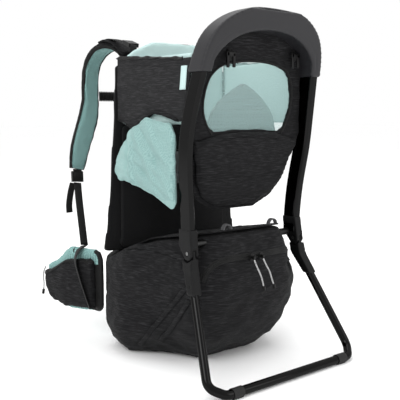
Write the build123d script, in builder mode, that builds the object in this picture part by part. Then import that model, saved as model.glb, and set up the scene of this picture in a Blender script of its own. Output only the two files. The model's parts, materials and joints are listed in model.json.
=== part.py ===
from build123d import *

import os
from math import cos, pi, radians, sin, tan

# Framed child carrier for one wearer. Millimetres. +X is the wearer's right, +Y the way the
# wearer faces, +Z up. The origin is on the floor, under the middle of the carrier's box.

# ---- Running gaps and skins ------------------------------------------------------------
GAP = 0.4                # between soft pieces that lie on each other
RUNNING = 0.05           # radial clearance of a pin in its bore
SLIDE = 0.6              # clearance of a piece that slides on another
WEB = 2.0                # thickness of woven webbing
WEB_WIDTH = 20.0         # width of woven webbing
SPAN = 420.0             # longer than half of anything that is cut by an outline

# ---- Hoop: the flat oval tube behind the child -------------------------------------------
HOOP_WIDTH = 17.0        # across the tube, seen from behind
HOOP_DEPTH = 35.0        # across the tube, seen from the side
HOOP_HALF = 166.5        # centre line half width at its widest
HOOP_FOOT_HALF = 151.0   # centre line half width above the hinges
HOOP_SHOULDER_HALF = 154.0
HOOP_TOP_Z = 738.0       # top of the centre line
HOOP_FOOT_Y = -159.5     # centre line at the foot
HOOP_TOP_Y = -239.0      # centre line at the top
HOOP_END_Z = 276.0       # where the tube ends inside the hinge cover
HOOP_ROUND = 6.5
HOOP_WALL = 2.4
CAP_SKIN = 3.5           # wall of the grab cap round the tube
CAP_END_Z = 628.0
CAP_CROWN = 28.0         # how far the cap reaches below the tube's centre line at the top

# ---- Hinges and folding stand ---------------------------------------------------------
HINGE_HALF = 154.0       # middle of the hinge, from the centre plane
HINGE_Y = -172.0
HINGE_Z = 262.0
HINGE_PIN = 4.0          # pin radius
COVER_SKIN = 2.6
COVER_TOP_Z = 312.0
EAR_RADIUS = 13.0
TONGUE_WIDTH = 8.0
STAND_TUBE = 9.25        # tube radius
STAND_BAR_Y = -315.0
STAND_SPLAY_HALF = 204.0
STAND_CORNER_HALF = 178.0
STAND_CORNER_Z = 24.0
STAND_CORNER_Y = -290.0
KNUCKLE_END_HALF = 169.0
KNUCKLE_END_Y = -204.0
KNUCKLE_END_Z = 181.0
PAD_HALF = 151.0
PAD_LENGTH = 26.0
PAD_SKIN = 1.5
FOLD_RISE = STAND_TUBE + PAD_SKIN

# ---- Back frame and wearer's back ------------------------------------------------------
STAY_RADIUS = 7.0
STAY_HALF = 118.0
STAY_Y = 108.0
STAY_TOP_Z = 640.0
STAY_FOOT_Z = 90.0
RAIL_END_Z = 203.0       # where the rails meet the back frame
RAIL_RADIUS = 8.0
BOARD_THICK = 3.0
BOARD_Y = 126.0          # rear face of the back board
BOARD_HALF = 138.0
BOARD_TOP_Z = 690.0
BOARD_FOOT_Z = 96.0
PAD_THICK = 20.0
TRACK_HALF = 22.0
TRACK_THICK = 8.0
TRACK_LOW_Z = 470.0
TRACK_HIGH_Z = 668.0

# ---- Cockpit -----------------------------------------------------------------------------
COCKPIT_HALF = 160.0     # outer face of the side panels
RIM_Z = 676.0
CLOTH = 5.0              # wall of a lined cloth panel
COCKPIT_FRONT_Y = 90.0
LINING_TOP_Z = 714.0
PANEL_Y = -172.0         # rear face of the panel behind the child
PANEL_TOP_Z = 704.0
PANEL_FOOT_Z = 338.0
PANEL_THICK = 7.0
POUCH_THICK = 9.0
HEM_Z = 508.0
WINDOW_HALF = 112.0
WINDOW_TOP_Z = 650.0

# ---- Lower bag ----------------------------------------------------------------------------
BAG_WALL = 6.0
BAG_TOP_Z = 300.0        # rear ridge of the top, which slopes down to the front
BAG_KNEE_Y = -15.0
BAG_KNEE_Z = 268.0
BAG_LIP_Z = 212.0        # front edge of the top
BAG_WIDE_Z = 180.0
BAG_HALF = 192.0
BAG_FRONT_Y = 124.0
BAG_CORNER_HALF = 150.0
BAG_CORNER_Y = -172.0
BAG_REAR_Y = -214.0
BAG_TOE_Y = -112.0
LID_THICK = 3.0
ZIP_Z = 251.0
ZIP_HALF = 96.0

# ---- Child seat ----------------------------------------------------------------------------
SEAT_Z = 388.0
SEAT_HALF = 62.0

# ---- Shoulder straps ------------------------------------------------------------------------
STRAP_WIDTH = 62.0
STRAP_THICK = 16.0
# centre line of the left strap, from the yoke over the shoulder to the ladder lock
STRAP_ROUTE = [
    (-62, 172, 640),
    (-68, 184, 688),
    (-84, 222, 713),
    (-103, 268, 704),
    (-114, 296, 664),
    (-118, 302, 618),
    (-121, 299, 572),
    (-131, 294, 532),
    (-147, 290, 488),
    (-160, 287, 444),
    (-168, 284, 404),
]
STRAP_TURN = [0, 0, 4, 10, 16, 16, 12, 6, 3, 3, 3]   # degrees, outer edge towards the back

# ---- Hip belt --------------------------------------------------------------------------------
WING_ROOT = (-180.0, 130.0)
WING_MID = (-214.0, 226.0)
WING_TIP = (-229.0, 314.0)
WING_PAD = 12.0
WING_POCKET = 16.0

# ---- Zip pulls ---------------------------------------------------------------------------------
PULL_DIAMETER = 3.4
# routes of the cords, from the slider's eye down to the toggle; tube radii come from the runs
PULL_ROUTES = {
    "zip_cord_left": [
        (-29, -229, 241),
        (-27, -233.5, 229),
        (-19, -236, 213),
        (-11, -235, 197),
        (-5, -232.5, 183),
    ],
    "zip_cord_right": [
        (-3, -229, 241),
        (-0.5, -233.5, 229),
        (8.5, -236.5, 214),
        (16, -235, 197),
        (24, -232.5, 183),
    ],
    "belt_cord_left": [
        (-247, 314, 162),
        (-251, 319, 150),
        (-252, 320.5, 134),
        (-250.5, 318.5, 118),
        (-252, 319.5, 103),
    ],
}
TOGGLE_RADIUS = 3.4
TOGGLE_LENGTH = 13.0

os.makedirs("parts", exist_ok=True)


def keep(piece, label):
    """Label a finished piece and write it out."""
    piece.part.label = label
    export_step(piece.part, f"parts/{label}.step")
    return piece


def mirrored(piece, label):
    """The same piece for the wearer's other side."""
    with BuildPart() as other:
        mirror(piece.part, about=Plane.YZ)
    return keep(other, label)


def both_sides(points):
    """Right-hand outline points followed by their mirror images, top first."""
    return points + [(-x, z) for x, z in reversed(points) if x != 0]


def plate(plane, points, thick, corner=8.0):
    """A flat panel with rounded corners, standing on a plane."""
    with BuildPart() as panel:
        with BuildSketch(plane):
            with BuildLine():
                FilletPolyline(*points, radius=corner, close=True)
            make_face()
        extrude(amount=thick)
    return panel


def crossed(front, side, front_corner=8.0, side_corner=3.0):
    """A piece with one outline seen from behind and another seen from the side."""
    with BuildPart() as piece:
        with BuildSketch(Plane.XZ):
            with BuildLine():
                FilletPolyline(*front, radius=front_corner, close=True)
            make_face()
        extrude(amount=SPAN, both=True)
        with BuildSketch(Plane.YZ):
            with BuildLine():
                FilletPolyline(*side, radius=side_corner, close=True)
            make_face()
        extrude(amount=SPAN, both=True, mode=Mode.INTERSECT)
    return piece


# ======== Hoop ==============================================================================
hoop_right = [
    (86, HOOP_TOP_Z - 14),
    (137, HOOP_TOP_Z - 50),
    (HOOP_SHOULDER_HALF, CAP_END_Z),
    (HOOP_HALF, 484),
    (HOOP_FOOT_HALF, HOOP_END_Z),
]
hoop_front = [(-x, z) for x, z in reversed(hoop_right)] + [(0, HOOP_TOP_Z)] + hoop_right
hoop_side = [
    (HOOP_FOOT_Y, HOOP_END_Z),
    (HOOP_FOOT_Y - 4, 375),
    (HOOP_FOOT_Y - 19, 514),
    (HOOP_FOOT_Y - 43, CAP_END_Z),
    (HOOP_TOP_Y, HOOP_TOP_Z + 12),
]


def hoop_bar(width, depth):
    """A bar of the given section along the whole hoop, with square edges."""
    with BuildPart() as bar:
        with BuildSketch(Plane.XZ):
            with BuildLine():
                Spline(*hoop_front, tangents=((0, 1), (0, -1)))
            trace(line_width=width)
        extrude(amount=SPAN, both=True)
        with BuildSketch(Plane.YZ):
            with BuildLine():
                Spline(*hoop_side, tangents=((0, 1), (-0.45, 1)))
            trace(line_width=depth)
        extrude(amount=SPAN, both=True, mode=Mode.INTERSECT)
    return bar


with BuildPart() as hoop_tube:
    add(hoop_bar(HOOP_WIDTH, HOOP_DEPTH).part)
    long_edges = hoop_tube.edges().sort_by(SortBy.LENGTH)[-4:]
    fillet(long_edges, radius=HOOP_ROUND)
    add(hoop_bar(HOOP_WIDTH - 2 * HOOP_WALL, HOOP_DEPTH - 2 * HOOP_WALL).part, mode=Mode.SUBTRACT)
keep(hoop_tube, "hoop_tube")

cap_inner = [
    (HOOP_SHOULDER_HALF - 7, CAP_END_Z),
    (131, 663),
    (107, 684),
    (76, 699),
    (0, HOOP_TOP_Z - CAP_CROWN),
]
with BuildPart() as hoop_cap:
    with BuildSketch(Plane.XZ):
        with BuildLine():
            Spline(*hoop_front, tangents=((0, 1), (0, -1)))
        trace(line_width=HOOP_WIDTH + 2 * CAP_SKIN)
        with BuildLine():
            top = Spline(*hoop_front[2:-2])
            Spline(*([(-x, z) for x, z in cap_inner] + list(reversed(cap_inner[:-1]))))
            Line(top @ 0, (-cap_inner[0][0], CAP_END_Z))
            Line(top @ 1, (cap_inner[0][0], CAP_END_Z))
        make_face()
        with Locations((0, CAP_END_Z - SPAN)):
            Rectangle(2 * SPAN, 2 * SPAN, mode=Mode.SUBTRACT)
    extrude(amount=SPAN, both=True)
    with BuildSketch(Plane.YZ):
        with BuildLine():
            Spline(*hoop_side, tangents=((0, 1), (-0.45, 1)))
        trace(line_width=HOOP_DEPTH + 2 * CAP_SKIN)
    extrude(amount=SPAN, both=True, mode=Mode.INTERSECT)
    add(hoop_bar(HOOP_WIDTH + 2 * RUNNING, HOOP_DEPTH + 2 * RUNNING).part, mode=Mode.SUBTRACT)
keep(hoop_cap, "hoop_cap")


# ======== Hinge covers, pins and the folding stand ==========================================
cover_half = HOOP_WIDTH / 2 + COVER_SKIN
cover_depth = HOOP_DEPTH / 2 + COVER_SKIN
ear_reach = EAR_RADIUS + 2


def hinge_disc(radius, thick):
    """A disc round the left hinge axis."""
    with BuildPart() as disc:
        with BuildSketch(Plane.YZ.offset(-HINGE_HALF)):
            with Locations((HINGE_Y, HINGE_Z)):
                Circle(radius)
        extrude(amount=thick / 2, both=True)
    return disc.part


cover_front = [
    (-HOOP_FOOT_HALF - cover_half, COVER_TOP_Z),
    (-HOOP_FOOT_HALF + cover_half, COVER_TOP_Z),
    (-HINGE_HALF + cover_half, HINGE_Z - EAR_RADIUS - 3),
    (-HINGE_HALF - cover_half, HINGE_Z - EAR_RADIUS - 3),
]
cover_side = [
    (HOOP_FOOT_Y - cover_depth, COVER_TOP_Z),
    (HOOP_FOOT_Y + cover_depth, COVER_TOP_Z),
    (HOOP_FOOT_Y + cover_depth - 2, HOOP_END_Z),
    (HINGE_Y + ear_reach, HINGE_Z - 4),
    (HINGE_Y + ear_reach * 0.45, HINGE_Z - ear_reach),
    (HINGE_Y - ear_reach * 0.45, HINGE_Z - ear_reach),
    (HINGE_Y - ear_reach, HINGE_Z - 4),
]
with BuildPart() as hinge_cover_left:
    add(crossed(cover_front, cover_side, 4, 4).part)
    add(hoop_bar(HOOP_WIDTH + 4 * RUNNING, HOOP_DEPTH + 4 * RUNNING).part, mode=Mode.SUBTRACT)
    with BuildSketch(Plane.YZ.offset(-HINGE_HALF)):
        with Locations((HINGE_Y, HINGE_Z)):
            Circle(EAR_RADIUS + SLIDE)
        with Locations((HINGE_Y, HINGE_Z - EAR_RADIUS + 3)):
            Rectangle(4 * EAR_RADIUS, 2 * EAR_RADIUS + 6)
    extrude(amount=TONGUE_WIDTH / 2 + SLIDE, both=True, mode=Mode.SUBTRACT)
    add(hinge_disc(HINGE_PIN, 60), mode=Mode.SUBTRACT)
keep(hinge_cover_left, "hinge_cover_left")
with BuildPart() as hinge_cover_right:
    mirror(hinge_cover_left.part, about=Plane.YZ)
    add(hoop_bar(HOOP_WIDTH + 4 * RUNNING, HOOP_DEPTH + 4 * RUNNING).part, mode=Mode.SUBTRACT)
keep(hinge_cover_right, "hinge_cover_right")

with BuildPart() as hinge_pins:
    for side in (-1, 1):
        with BuildSketch(Plane.YZ.offset(side * HINGE_HALF)):
            with Locations((HINGE_Y, HINGE_Z)):
                Circle(HINGE_PIN - RUNNING)
        extrude(amount=cover_half - 1.5, both=True)
keep(hinge_pins, "hinge_pins")

stand_points = [
    (-KNUCKLE_END_HALF, KNUCKLE_END_Y, KNUCKLE_END_Z),
    (-STAND_SPLAY_HALF, STAND_CORNER_Y, STAND_CORNER_Z),
    (-STAND_CORNER_HALF, STAND_BAR_Y, FOLD_RISE),
    (STAND_CORNER_HALF, STAND_BAR_Y, FOLD_RISE),
    (STAND_SPLAY_HALF, STAND_CORNER_Y, STAND_CORNER_Z),
    (KNUCKLE_END_HALF, KNUCKLE_END_Y, KNUCKLE_END_Z),
]
leg_way = (Vector(*stand_points[0]) - Vector(*stand_points[1])).normalized()
leg_top = Vector(*stand_points[0]) + leg_way * 22
stand_points[0] = (leg_top.X, leg_top.Y, leg_top.Z)
stand_points[-1] = (-leg_top.X, leg_top.Y, leg_top.Z)


def stand_bar(radius):
    """The whole U of the stand as a bar of one radius."""
    with BuildPart() as bar:
        with BuildLine() as route:
            FilletPolyline(*stand_points, radius=[26, 22, 22, 26])
        with BuildSketch(Plane(origin=route.line @ 0, z_dir=route.line % 0)):
            Circle(radius)
        sweep(path=route.line)
    return bar.part


with BuildPart() as stand_tube:
    add(stand_bar(STAND_TUBE))
    add(stand_bar(STAND_TUBE - 1.8), mode=Mode.SUBTRACT)
keep(stand_tube, "stand_tube")

knuckle_reach = STAND_TUBE + COVER_SKIN
knuckle_front = [
    (-HINGE_HALF - cover_half, HINGE_Z),
    (-HINGE_HALF + cover_half, HINGE_Z),
    (-HINGE_HALF + cover_half - 3, HINGE_Z - 40),
    (-KNUCKLE_END_HALF + knuckle_reach, KNUCKLE_END_Z),
    (-KNUCKLE_END_HALF - knuckle_reach, KNUCKLE_END_Z),
    (-HINGE_HALF - cover_half - 5, HINGE_Z - 40),
]
knuckle_side = [
    (HINGE_Y - ear_reach + 1, HINGE_Z),
    (HINGE_Y + ear_reach - 1, HINGE_Z),
    (HINGE_Y + ear_reach - 3, HINGE_Z - 30),
    (KNUCKLE_END_Y + knuckle_reach, KNUCKLE_END_Z),
    (KNUCKLE_END_Y - knuckle_reach, KNUCKLE_END_Z),
    (HINGE_Y - ear_reach - 5, HINGE_Z - 34),
]
with BuildPart() as stand_knuckle_left:
    add(crossed(knuckle_front, knuckle_side, 3, 3).part)
    add(hinge_disc(ear_reach + 2.4 + SLIDE, 60), mode=Mode.SUBTRACT)
    with BuildSketch(Plane.YZ.offset(-HINGE_HALF)):
        with BuildLine():
            Polyline(
                (HINGE_Y - EAR_RADIUS, HINGE_Z),
                (HINGE_Y - EAR_RADIUS - 2, HINGE_Z - 26),
                (HINGE_Y + EAR_RADIUS - 4, HINGE_Z - 26),
                (HINGE_Y + EAR_RADIUS, HINGE_Z),
                close=True,
            )
        make_face()
        with Locations((HINGE_Y, HINGE_Z)):
            Circle(EAR_RADIUS)
    extrude(amount=TONGUE_WIDTH / 2, both=True)
    add(hinge_disc(HINGE_PIN, 60), mode=Mode.SUBTRACT)
    add(stand_bar(STAND_TUBE + RUNNING), mode=Mode.SUBTRACT)
keep(stand_knuckle_left, "stand_knuckle_left")
stand_knuckle_right = mirrored(stand_knuckle_left, "stand_knuckle_right")

with BuildPart() as stand_pad_left:
    with BuildSketch(Plane.YZ.offset(-PAD_HALF)):
        with Locations((STAND_BAR_Y, FOLD_RISE)):
            Circle(STAND_TUBE + PAD_SKIN)
        with Locations((STAND_BAR_Y, FOLD_RISE / 2)):
            Rectangle(STAND_TUBE + PAD_SKIN, FOLD_RISE)
        with Locations((STAND_BAR_Y, FOLD_RISE)):
            Circle(STAND_TUBE + RUNNING, mode=Mode.SUBTRACT)
    extrude(amount=PAD_LENGTH / 2, both=True)
keep(stand_pad_left, "stand_pad_left")
stand_pad_right = mirrored(stand_pad_left, "stand_pad_right")


# ======== Base frame, back frame and the wearer's back =======================================
with BuildPart() as back_frame_tube:
    with BuildLine() as stay_route:
        FilletPolyline(
            (-STAY_HALF, STAY_Y, STAY_FOOT_Z),
            (-STAY_HALF, STAY_Y, STAY_TOP_Z),
            (STAY_HALF, STAY_Y, STAY_TOP_Z),
            (STAY_HALF, STAY_Y, STAY_FOOT_Z),
            radius=60,
        )
    with BuildSketch(Plane(origin=stay_route.line @ 0, z_dir=stay_route.line % 0)):
        Circle(STAY_RADIUS)
        Circle(STAY_RADIUS - 1.5, mode=Mode.SUBTRACT)
    sweep(path=stay_route.line)
keep(back_frame_tube, "back_frame_tube")

CROSS_Y = HINGE_Y + 14   # the cross tube joins the hinge covers
CROSS_Z = HOOP_END_Z


def base_frame_bars(radius, reach):
    """Cross tube between the hinge covers and the two rails that run to the back frame."""
    with BuildPart() as bars:
        with BuildSketch(Plane.YZ):
            with Locations((CROSS_Y, CROSS_Z)):
                Circle(radius)
        extrude(amount=reach, both=True)
        for side in (-1, 1):
            rear_end = Vector(side * STAY_HALF, CROSS_Y, CROSS_Z)
            rail = Vector(side * STAY_HALF, STAY_Y, RAIL_END_Z) - rear_end
            with BuildSketch(Plane(origin=rear_end, z_dir=rail)):
                Circle(radius)
            extrude(amount=rail.length)
    return bars.part


cross_reach = HOOP_FOOT_HALF - cover_half - 1.5
with BuildPart() as base_frame:
    add(base_frame_bars(RAIL_RADIUS, cross_reach))
    with BuildSketch(Plane.XY.offset(STAY_FOOT_Z)):
        with Locations((-STAY_HALF, STAY_Y), (STAY_HALF, STAY_Y)):
            Circle(STAY_RADIUS + 0.1)
    extrude(amount=SPAN, mode=Mode.SUBTRACT)
keep(base_frame, "base_frame")

board_outline = [
    (-BOARD_HALF, BOARD_FOOT_Z),
    (-BOARD_HALF - 12, 300),
    (-BOARD_HALF + 8, 520),
    (-BOARD_HALF + 26, BOARD_TOP_Z),
    (BOARD_HALF - 26, BOARD_TOP_Z),
    (BOARD_HALF - 8, 520),
    (BOARD_HALF + 12, 300),
    (BOARD_HALF, BOARD_FOOT_Z),
]
back_board = plate(Plane.XZ.offset(-BOARD_Y), board_outline, -BOARD_THICK, 24)
keep(back_board, "back_board")

pad_y = BOARD_Y + BOARD_THICK + GAP
with BuildPart() as back_pad:
    for side in (-1, 1):
        with BuildSketch(Plane.XZ.offset(-pad_y)):
            with BuildLine():
                FilletPolyline(
                    (side * (TRACK_HALF + 6), 420),
                    (side * (TRACK_HALF + 6), BOARD_TOP_Z - 14),
                    (side * 96, BOARD_TOP_Z - 14),
                    (side * 116, 560),
                    (side * 120, 420),
                    radius=16,
                    close=True,
                )
            make_face()
        extrude(amount=-(PAD_THICK - 6))
keep(back_pad, "back_pad")

lumbar_outline = both_sides([(70, 330), (128, 290), (146, 226), (175, 206), (175, 96), (140, 88)])
lumbar_pad = plate(Plane.XZ.offset(-pad_y), lumbar_outline, -PAD_THICK - 4, 24)
keep(lumbar_pad, "lumbar_pad")

with BuildPart() as torso_track:
    with BuildSketch(Plane.XZ.offset(-pad_y)):
        with Locations((0, (TRACK_LOW_Z + TRACK_HIGH_Z) / 2)):
            Rectangle(2 * TRACK_HALF, TRACK_HIGH_Z - TRACK_LOW_Z)
    extrude(amount=-TRACK_THICK)
    with BuildSketch(Plane.XZ.offset(-pad_y - TRACK_THICK)):
        with GridLocations(0, 24, 1, 7):
            with Locations((0, (TRACK_LOW_Z + TRACK_HIGH_Z) / 2)):
                Rectangle(24, 8)
    extrude(amount=4, mode=Mode.SUBTRACT)
keep(torso_track, "torso_track")


# ======== Cockpit ============================================================================
lining_outline = both_sides([(64, LINING_TOP_Z), (112, 694), (COCKPIT_HALF - 10, 668), (COCKPIT_HALF - 8, 520)])
front_lining = plate(Plane.XZ.offset(-COCKPIT_FRONT_Y), lining_outline, -9, 14)
keep(front_lining, "front_lining")

wall_outline = [(-158, BAG_LIP_Z + 20), (-152, 520 - GAP), (152, 520 - GAP), (158, BAG_LIP_Z + 20)]
front_wall = plate(Plane.XZ.offset(-COCKPIT_FRONT_Y), wall_outline, -9, 12)
keep(front_wall, "front_wall")

panel_side = [
    (COCKPIT_FRONT_Y + 9, RIM_Z),
    (PANEL_Y + 14, RIM_Z - 20),
    (PANEL_Y + 32, 528),
    (-112, 536),
    (-48, 546),
    (34, 512),
    (COCKPIT_FRONT_Y + 9, 534),
]
side_panel_left = plate(Plane.YZ.offset(-COCKPIT_HALF), panel_side, CLOTH, 8)
keep(side_panel_left, "side_panel_left")
side_panel_right = mirrored(side_panel_left, "side_panel_right")

# outer parts of the front wall, beside the stays of the back frame
shroud_outline = [
    (-STAY_HALF - 12, 640),
    (-COCKPIT_HALF - 2, 664),
    (-COCKPIT_HALF - 6, 540),
    (-COCKPIT_HALF - 13, 300),
    (-COCKPIT_HALF - 20, BAG_LIP_Z + 16),
    (-STAY_HALF - 12, BAG_LIP_Z + 16),
]
shroud_left = plate(Plane.XZ.offset(-COCKPIT_FRONT_Y - 9 - GAP), shroud_outline, -8, 8)
keep(shroud_left, "shroud_left")
shroud_right = mirrored(shroud_left, "shroud_right")

wing_outline = [
    (-145, 505),
    (-126, 528),
    (-36, 540),
    (30, 507),
    (80, 455),
    (94, 420),
    (78, 396),
    (20, 388),
    (-60, 372),
    (-145, 345),
]
seat_wing_left = plate(Plane.YZ.offset(-COCKPIT_HALF - 6 - GAP), wing_outline, -8, 16)
keep(seat_wing_left, "seat_wing_left")
seat_wing_right = mirrored(seat_wing_left, "seat_wing_right")


def panel_lean(front_gap, back_gap):
    """Side outline of a layer on the leaning panel, between two distances behind its face."""
    face = [
        (PANEL_Y, PANEL_FOOT_Z - 20),
        (PANEL_Y, 540),
        (PANEL_Y - 13, 618),
        (PANEL_Y - 40, PANEL_TOP_Z + 20),
    ]
    near = [(y + front_gap, z) for y, z in face]
    far = [(y + back_gap, z) for y, z in reversed(face)]
    return near + far


panel_front = both_sides([
    (40, PANEL_TOP_Z),
    (75, PANEL_TOP_Z - 12),
    (103, PANEL_TOP_Z - 28),
    (126, 650),
    (142, 600),
    (145, 510),
    (118, 446),
    (102, 398),
    (82, 362),
    (44, PANEL_FOOT_Z),
])


def window_outline(rim):
    """Outline of the see-through window, grown by a rim."""
    return both_sides([
        (40, WINDOW_TOP_Z + rim),
        (92 + rim, 630),
        (WINDOW_HALF + rim, 580),
        (88 + rim, HEM_Z + 4 - rim),
        (30, HEM_Z + 8 - rim),
    ])


window_mesh = crossed(window_outline(0), panel_lean(1, 3), 12, 0.5)
keep(window_mesh, "window_mesh")

with BuildPart() as rear_panel:
    add(crossed(panel_front, panel_lean(0, PANEL_THICK), 12, 1).part)
    with BuildSketch(Plane.XZ.offset(-PANEL_Y + 80)):
        with BuildLine():
            FilletPolyline(*window_outline(GAP), radius=12, close=True)
        make_face()
    extrude(amount=-160, mode=Mode.SUBTRACT)
keep(rear_panel, "rear_panel")

pouch_front = both_sides([
    (60, HEM_Z + 2),
    (138, HEM_Z - 8),
    (115, 446),
    (99, 398),
    (79, 364),
    (42, PANEL_FOOT_Z + 3),
])
rear_pouch = crossed(pouch_front, panel_lean(-GAP, -GAP - POUCH_THICK), 12, 1)
keep(rear_pouch, "rear_pouch")

HOOK_HALF = 97.0
HOOK_Z = 662.0
hook_y = PANEL_Y - 26
with BuildPart() as panel_hooks:
    with BuildSketch(Plane.XY.offset(HOOK_Z)):
        with Locations((-HOOK_HALF, hook_y - 9), (HOOK_HALF, hook_y - 9)):
            RectangleRounded(14, 7, 2)
    extrude(amount=16)
keep(panel_hooks, "panel_hooks")


# ======== Lower bag ==========================================================================
# level, side half width, half width at the rear corner, corner y, rear y, front y
bag_levels = [
    (0, 168, 96, -98, BAG_TOE_Y, BAG_FRONT_Y - 14),
    (60, 184, 130, -144, -176, BAG_FRONT_Y - 2),
    (BAG_WIDE_Z, BAG_HALF, BAG_CORNER_HALF, BAG_CORNER_Y, BAG_REAR_Y - 4, BAG_FRONT_Y),
    (216, 188, BAG_CORNER_HALF - 14, BAG_CORNER_Y + 6, BAG_REAR_Y - 2, BAG_FRONT_Y),
    (ZIP_Z, 180, BAG_CORNER_HALF - 22, BAG_CORNER_Y + 8, BAG_REAR_Y, BAG_FRONT_Y - 2),
    (BAG_TOP_Z, 158, BAG_CORNER_HALF - 26, BAG_CORNER_Y + 22, BAG_REAR_Y + 26, BAG_FRONT_Y - 2),
]
# side outline of the sloping top, from the rear ridge to the front lip
top_line = [
    (BAG_REAR_Y - SPAN, BAG_TOP_Z),
    (BAG_REAR_Y + 26, BAG_TOP_Z),
    (BAG_KNEE_Y, BAG_KNEE_Z),
    (BAG_FRONT_Y, BAG_LIP_Z),
    (BAG_FRONT_Y + SPAN, BAG_LIP_Z),
]


def under_top(drop):
    """Everything below the bag's sloping top, less a distance."""
    edge = [(y, z - drop) for y, z in top_line]
    with BuildPart() as space:
        with BuildSketch(Plane.YZ):
            with BuildLine():
                Polyline(*edge, (edge[-1][0], -SPAN), (edge[0][0], -SPAN), close=True)
            make_face()
        extrude(amount=SPAN, both=True)
    return space.part


def bag_body(inset):
    """The bag's faceted body, shrunk by an inset on every side."""
    with BuildPart() as body:
        for level, half, corner, corner_y, rear_y, front_y in bag_levels:
            height = max(level, inset)
            with BuildSketch(Plane.XY.offset(height)):
                with BuildLine():
                    Polyline(
                        (-half + inset, 30),
                        (-corner + inset, corner_y + inset),
                        (-ZIP_HALF + 8 + inset / 2, rear_y + inset),
                        (ZIP_HALF - 8 - inset / 2, rear_y + inset),
                        (corner - inset, corner_y + inset),
                        (half - inset, 30),
                        (half - 12 - inset, front_y - inset),
                        (-half + 12 + inset, front_y - inset),
                        close=True,
                    )
                make_face()
        loft(ruled=True)
        add(under_top(inset), mode=Mode.INTERSECT)
    return body.part


with BuildPart() as storage_bag:
    add(bag_body(0))
    add(bag_body(BAG_WALL), mode=Mode.SUBTRACT)
    add(base_frame_bars(RAIL_RADIUS + GAP, 250), mode=Mode.SUBTRACT)
    with BuildSketch(Plane.XY.offset(STAY_FOOT_Z)):
        with Locations((-STAY_HALF, STAY_Y), (STAY_HALF, STAY_Y)):
            Circle(STAY_RADIUS + GAP)
    extrude(amount=SPAN, mode=Mode.SUBTRACT)
keep(storage_bag, "storage_bag")

lid_edge = bag_levels[-1]
with BuildPart() as bag_lid:
    with BuildSketch(Plane.XY):
        with BuildLine():
            FilletPolyline(
                (-lid_edge[1] + 6, 30),
                (-lid_edge[2] + 4, lid_edge[3] + 4),
                (-ZIP_HALF + 10, lid_edge[4] + 4),
                (ZIP_HALF - 10, lid_edge[4] + 4),
                (lid_edge[2] - 4, lid_edge[3] + 4),
                (lid_edge[1] - 6, 30),
                (lid_edge[1] - 14, COCKPIT_FRONT_Y - 8),
                (-lid_edge[1] + 14, COCKPIT_FRONT_Y - 8),
                radius=10,
                close=True,
            )
        make_face()
    extrude(amount=SPAN)
    add(under_top(-GAP - LID_THICK), mode=Mode.INTERSECT)
    add(under_top(-GAP), mode=Mode.SUBTRACT)
keep(bag_lid, "bag_lid")



def rear_layer(outline, near, far, corner):
    """A layer of the bag's rear and corner faces inside an outline seen from behind."""
    with BuildPart() as layer:
        with BuildSketch(Plane.XZ.offset(60)):
            with BuildLine():
                FilletPolyline(*outline, radius=corner, close=True)
            make_face()
        extrude(amount=SPAN)
        add(bag_body(-far), mode=Mode.INTERSECT)
        add(bag_body(-near), mode=Mode.SUBTRACT)
    return layer


flap_front = both_sides([(83, ZIP_Z - 11), (98, ZIP_Z - 26), (112, 200), (122, 150), (108, 74)])
bag_flap = rear_layer(flap_front, GAP, GAP + 4, 8)
keep(bag_flap, "bag_flap")

track_outer = both_sides([(90, ZIP_Z), (110, ZIP_Z - 17), (130, 205)])
track_inner = both_sides([(87, ZIP_Z - 5), (105, ZIP_Z - 20), (121, 205 - 12)])
with BuildPart() as zip_track:
    add(rear_layer(track_outer, GAP, GAP + 3, 3).part)
    with BuildSketch(Plane.XZ):
        with BuildLine():
            FilletPolyline(*track_inner, radius=2, close=True)
        make_face()
    extrude(amount=SPAN, both=True, mode=Mode.SUBTRACT)
keep(zip_track, "zip_track")

SLIDER_HALF = 5.0
slider_y = BAG_REAR_Y - GAP - 5
for name, route_name in (("zip_slider_left", "zip_cord_left"), ("zip_slider_right", "zip_cord_right")):
    eye = PULL_ROUTES[route_name][0]
    with BuildPart() as slider:
        with BuildSketch(Plane.XZ.offset(-slider_y)):
            with Locations((eye[0], ZIP_Z - 5)):
                RectangleRounded(2 * SLIDER_HALF, 15, 3)
        extrude(amount=3)
        with BuildSketch(Plane.XZ.offset(-slider_y + 3)):
            with Locations((eye[0], eye[2] + 4.3)):
                RectangleRounded(5, 7, 2)
        extrude(amount=slider_y - 3 - eye[1] + PULL_DIAMETER / 2)
    keep(slider, name)

LOOP_HALF = 66.0
LOOP_Y = -182.0
LOOP_SPAN = 24.0
LOOP_FOOT_Z = BAG_TOP_Z + LID_THICK + 2 * GAP
with BuildPart() as lid_loops:
    for side in (-1, 1):
        with BuildSketch(Plane.XZ.offset(-LOOP_Y)):
            with Locations((side * LOOP_HALF, LOOP_FOOT_Z)):
                Circle(LOOP_SPAN / 2)
                Circle(LOOP_SPAN / 2 - 2.5, mode=Mode.SUBTRACT)
            with Locations((side * LOOP_HALF, LOOP_FOOT_Z - LOOP_SPAN)):
                Rectangle(2 * LOOP_SPAN, 2 * LOOP_SPAN, mode=Mode.SUBTRACT)
        extrude(amount=5, both=True)
keep(lid_loops, "lid_loops")


# ======== Cords of the zip pulls ==============================================================
def route_radii(points):
    """Radius of each arc: 0.45 of the shorter run over the tangent of half the turn."""
    radii = []
    for before, here, after in zip(points, points[1:], points[2:]):
        run_in = Vector(*here) - Vector(*before)
        run_out = Vector(*after) - Vector(*here)
        turn = run_in.get_angle(run_out)
        radii.append(0.45 * min(run_in.length, run_out.length) / tan(radians(turn / 2)))
    return radii


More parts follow.
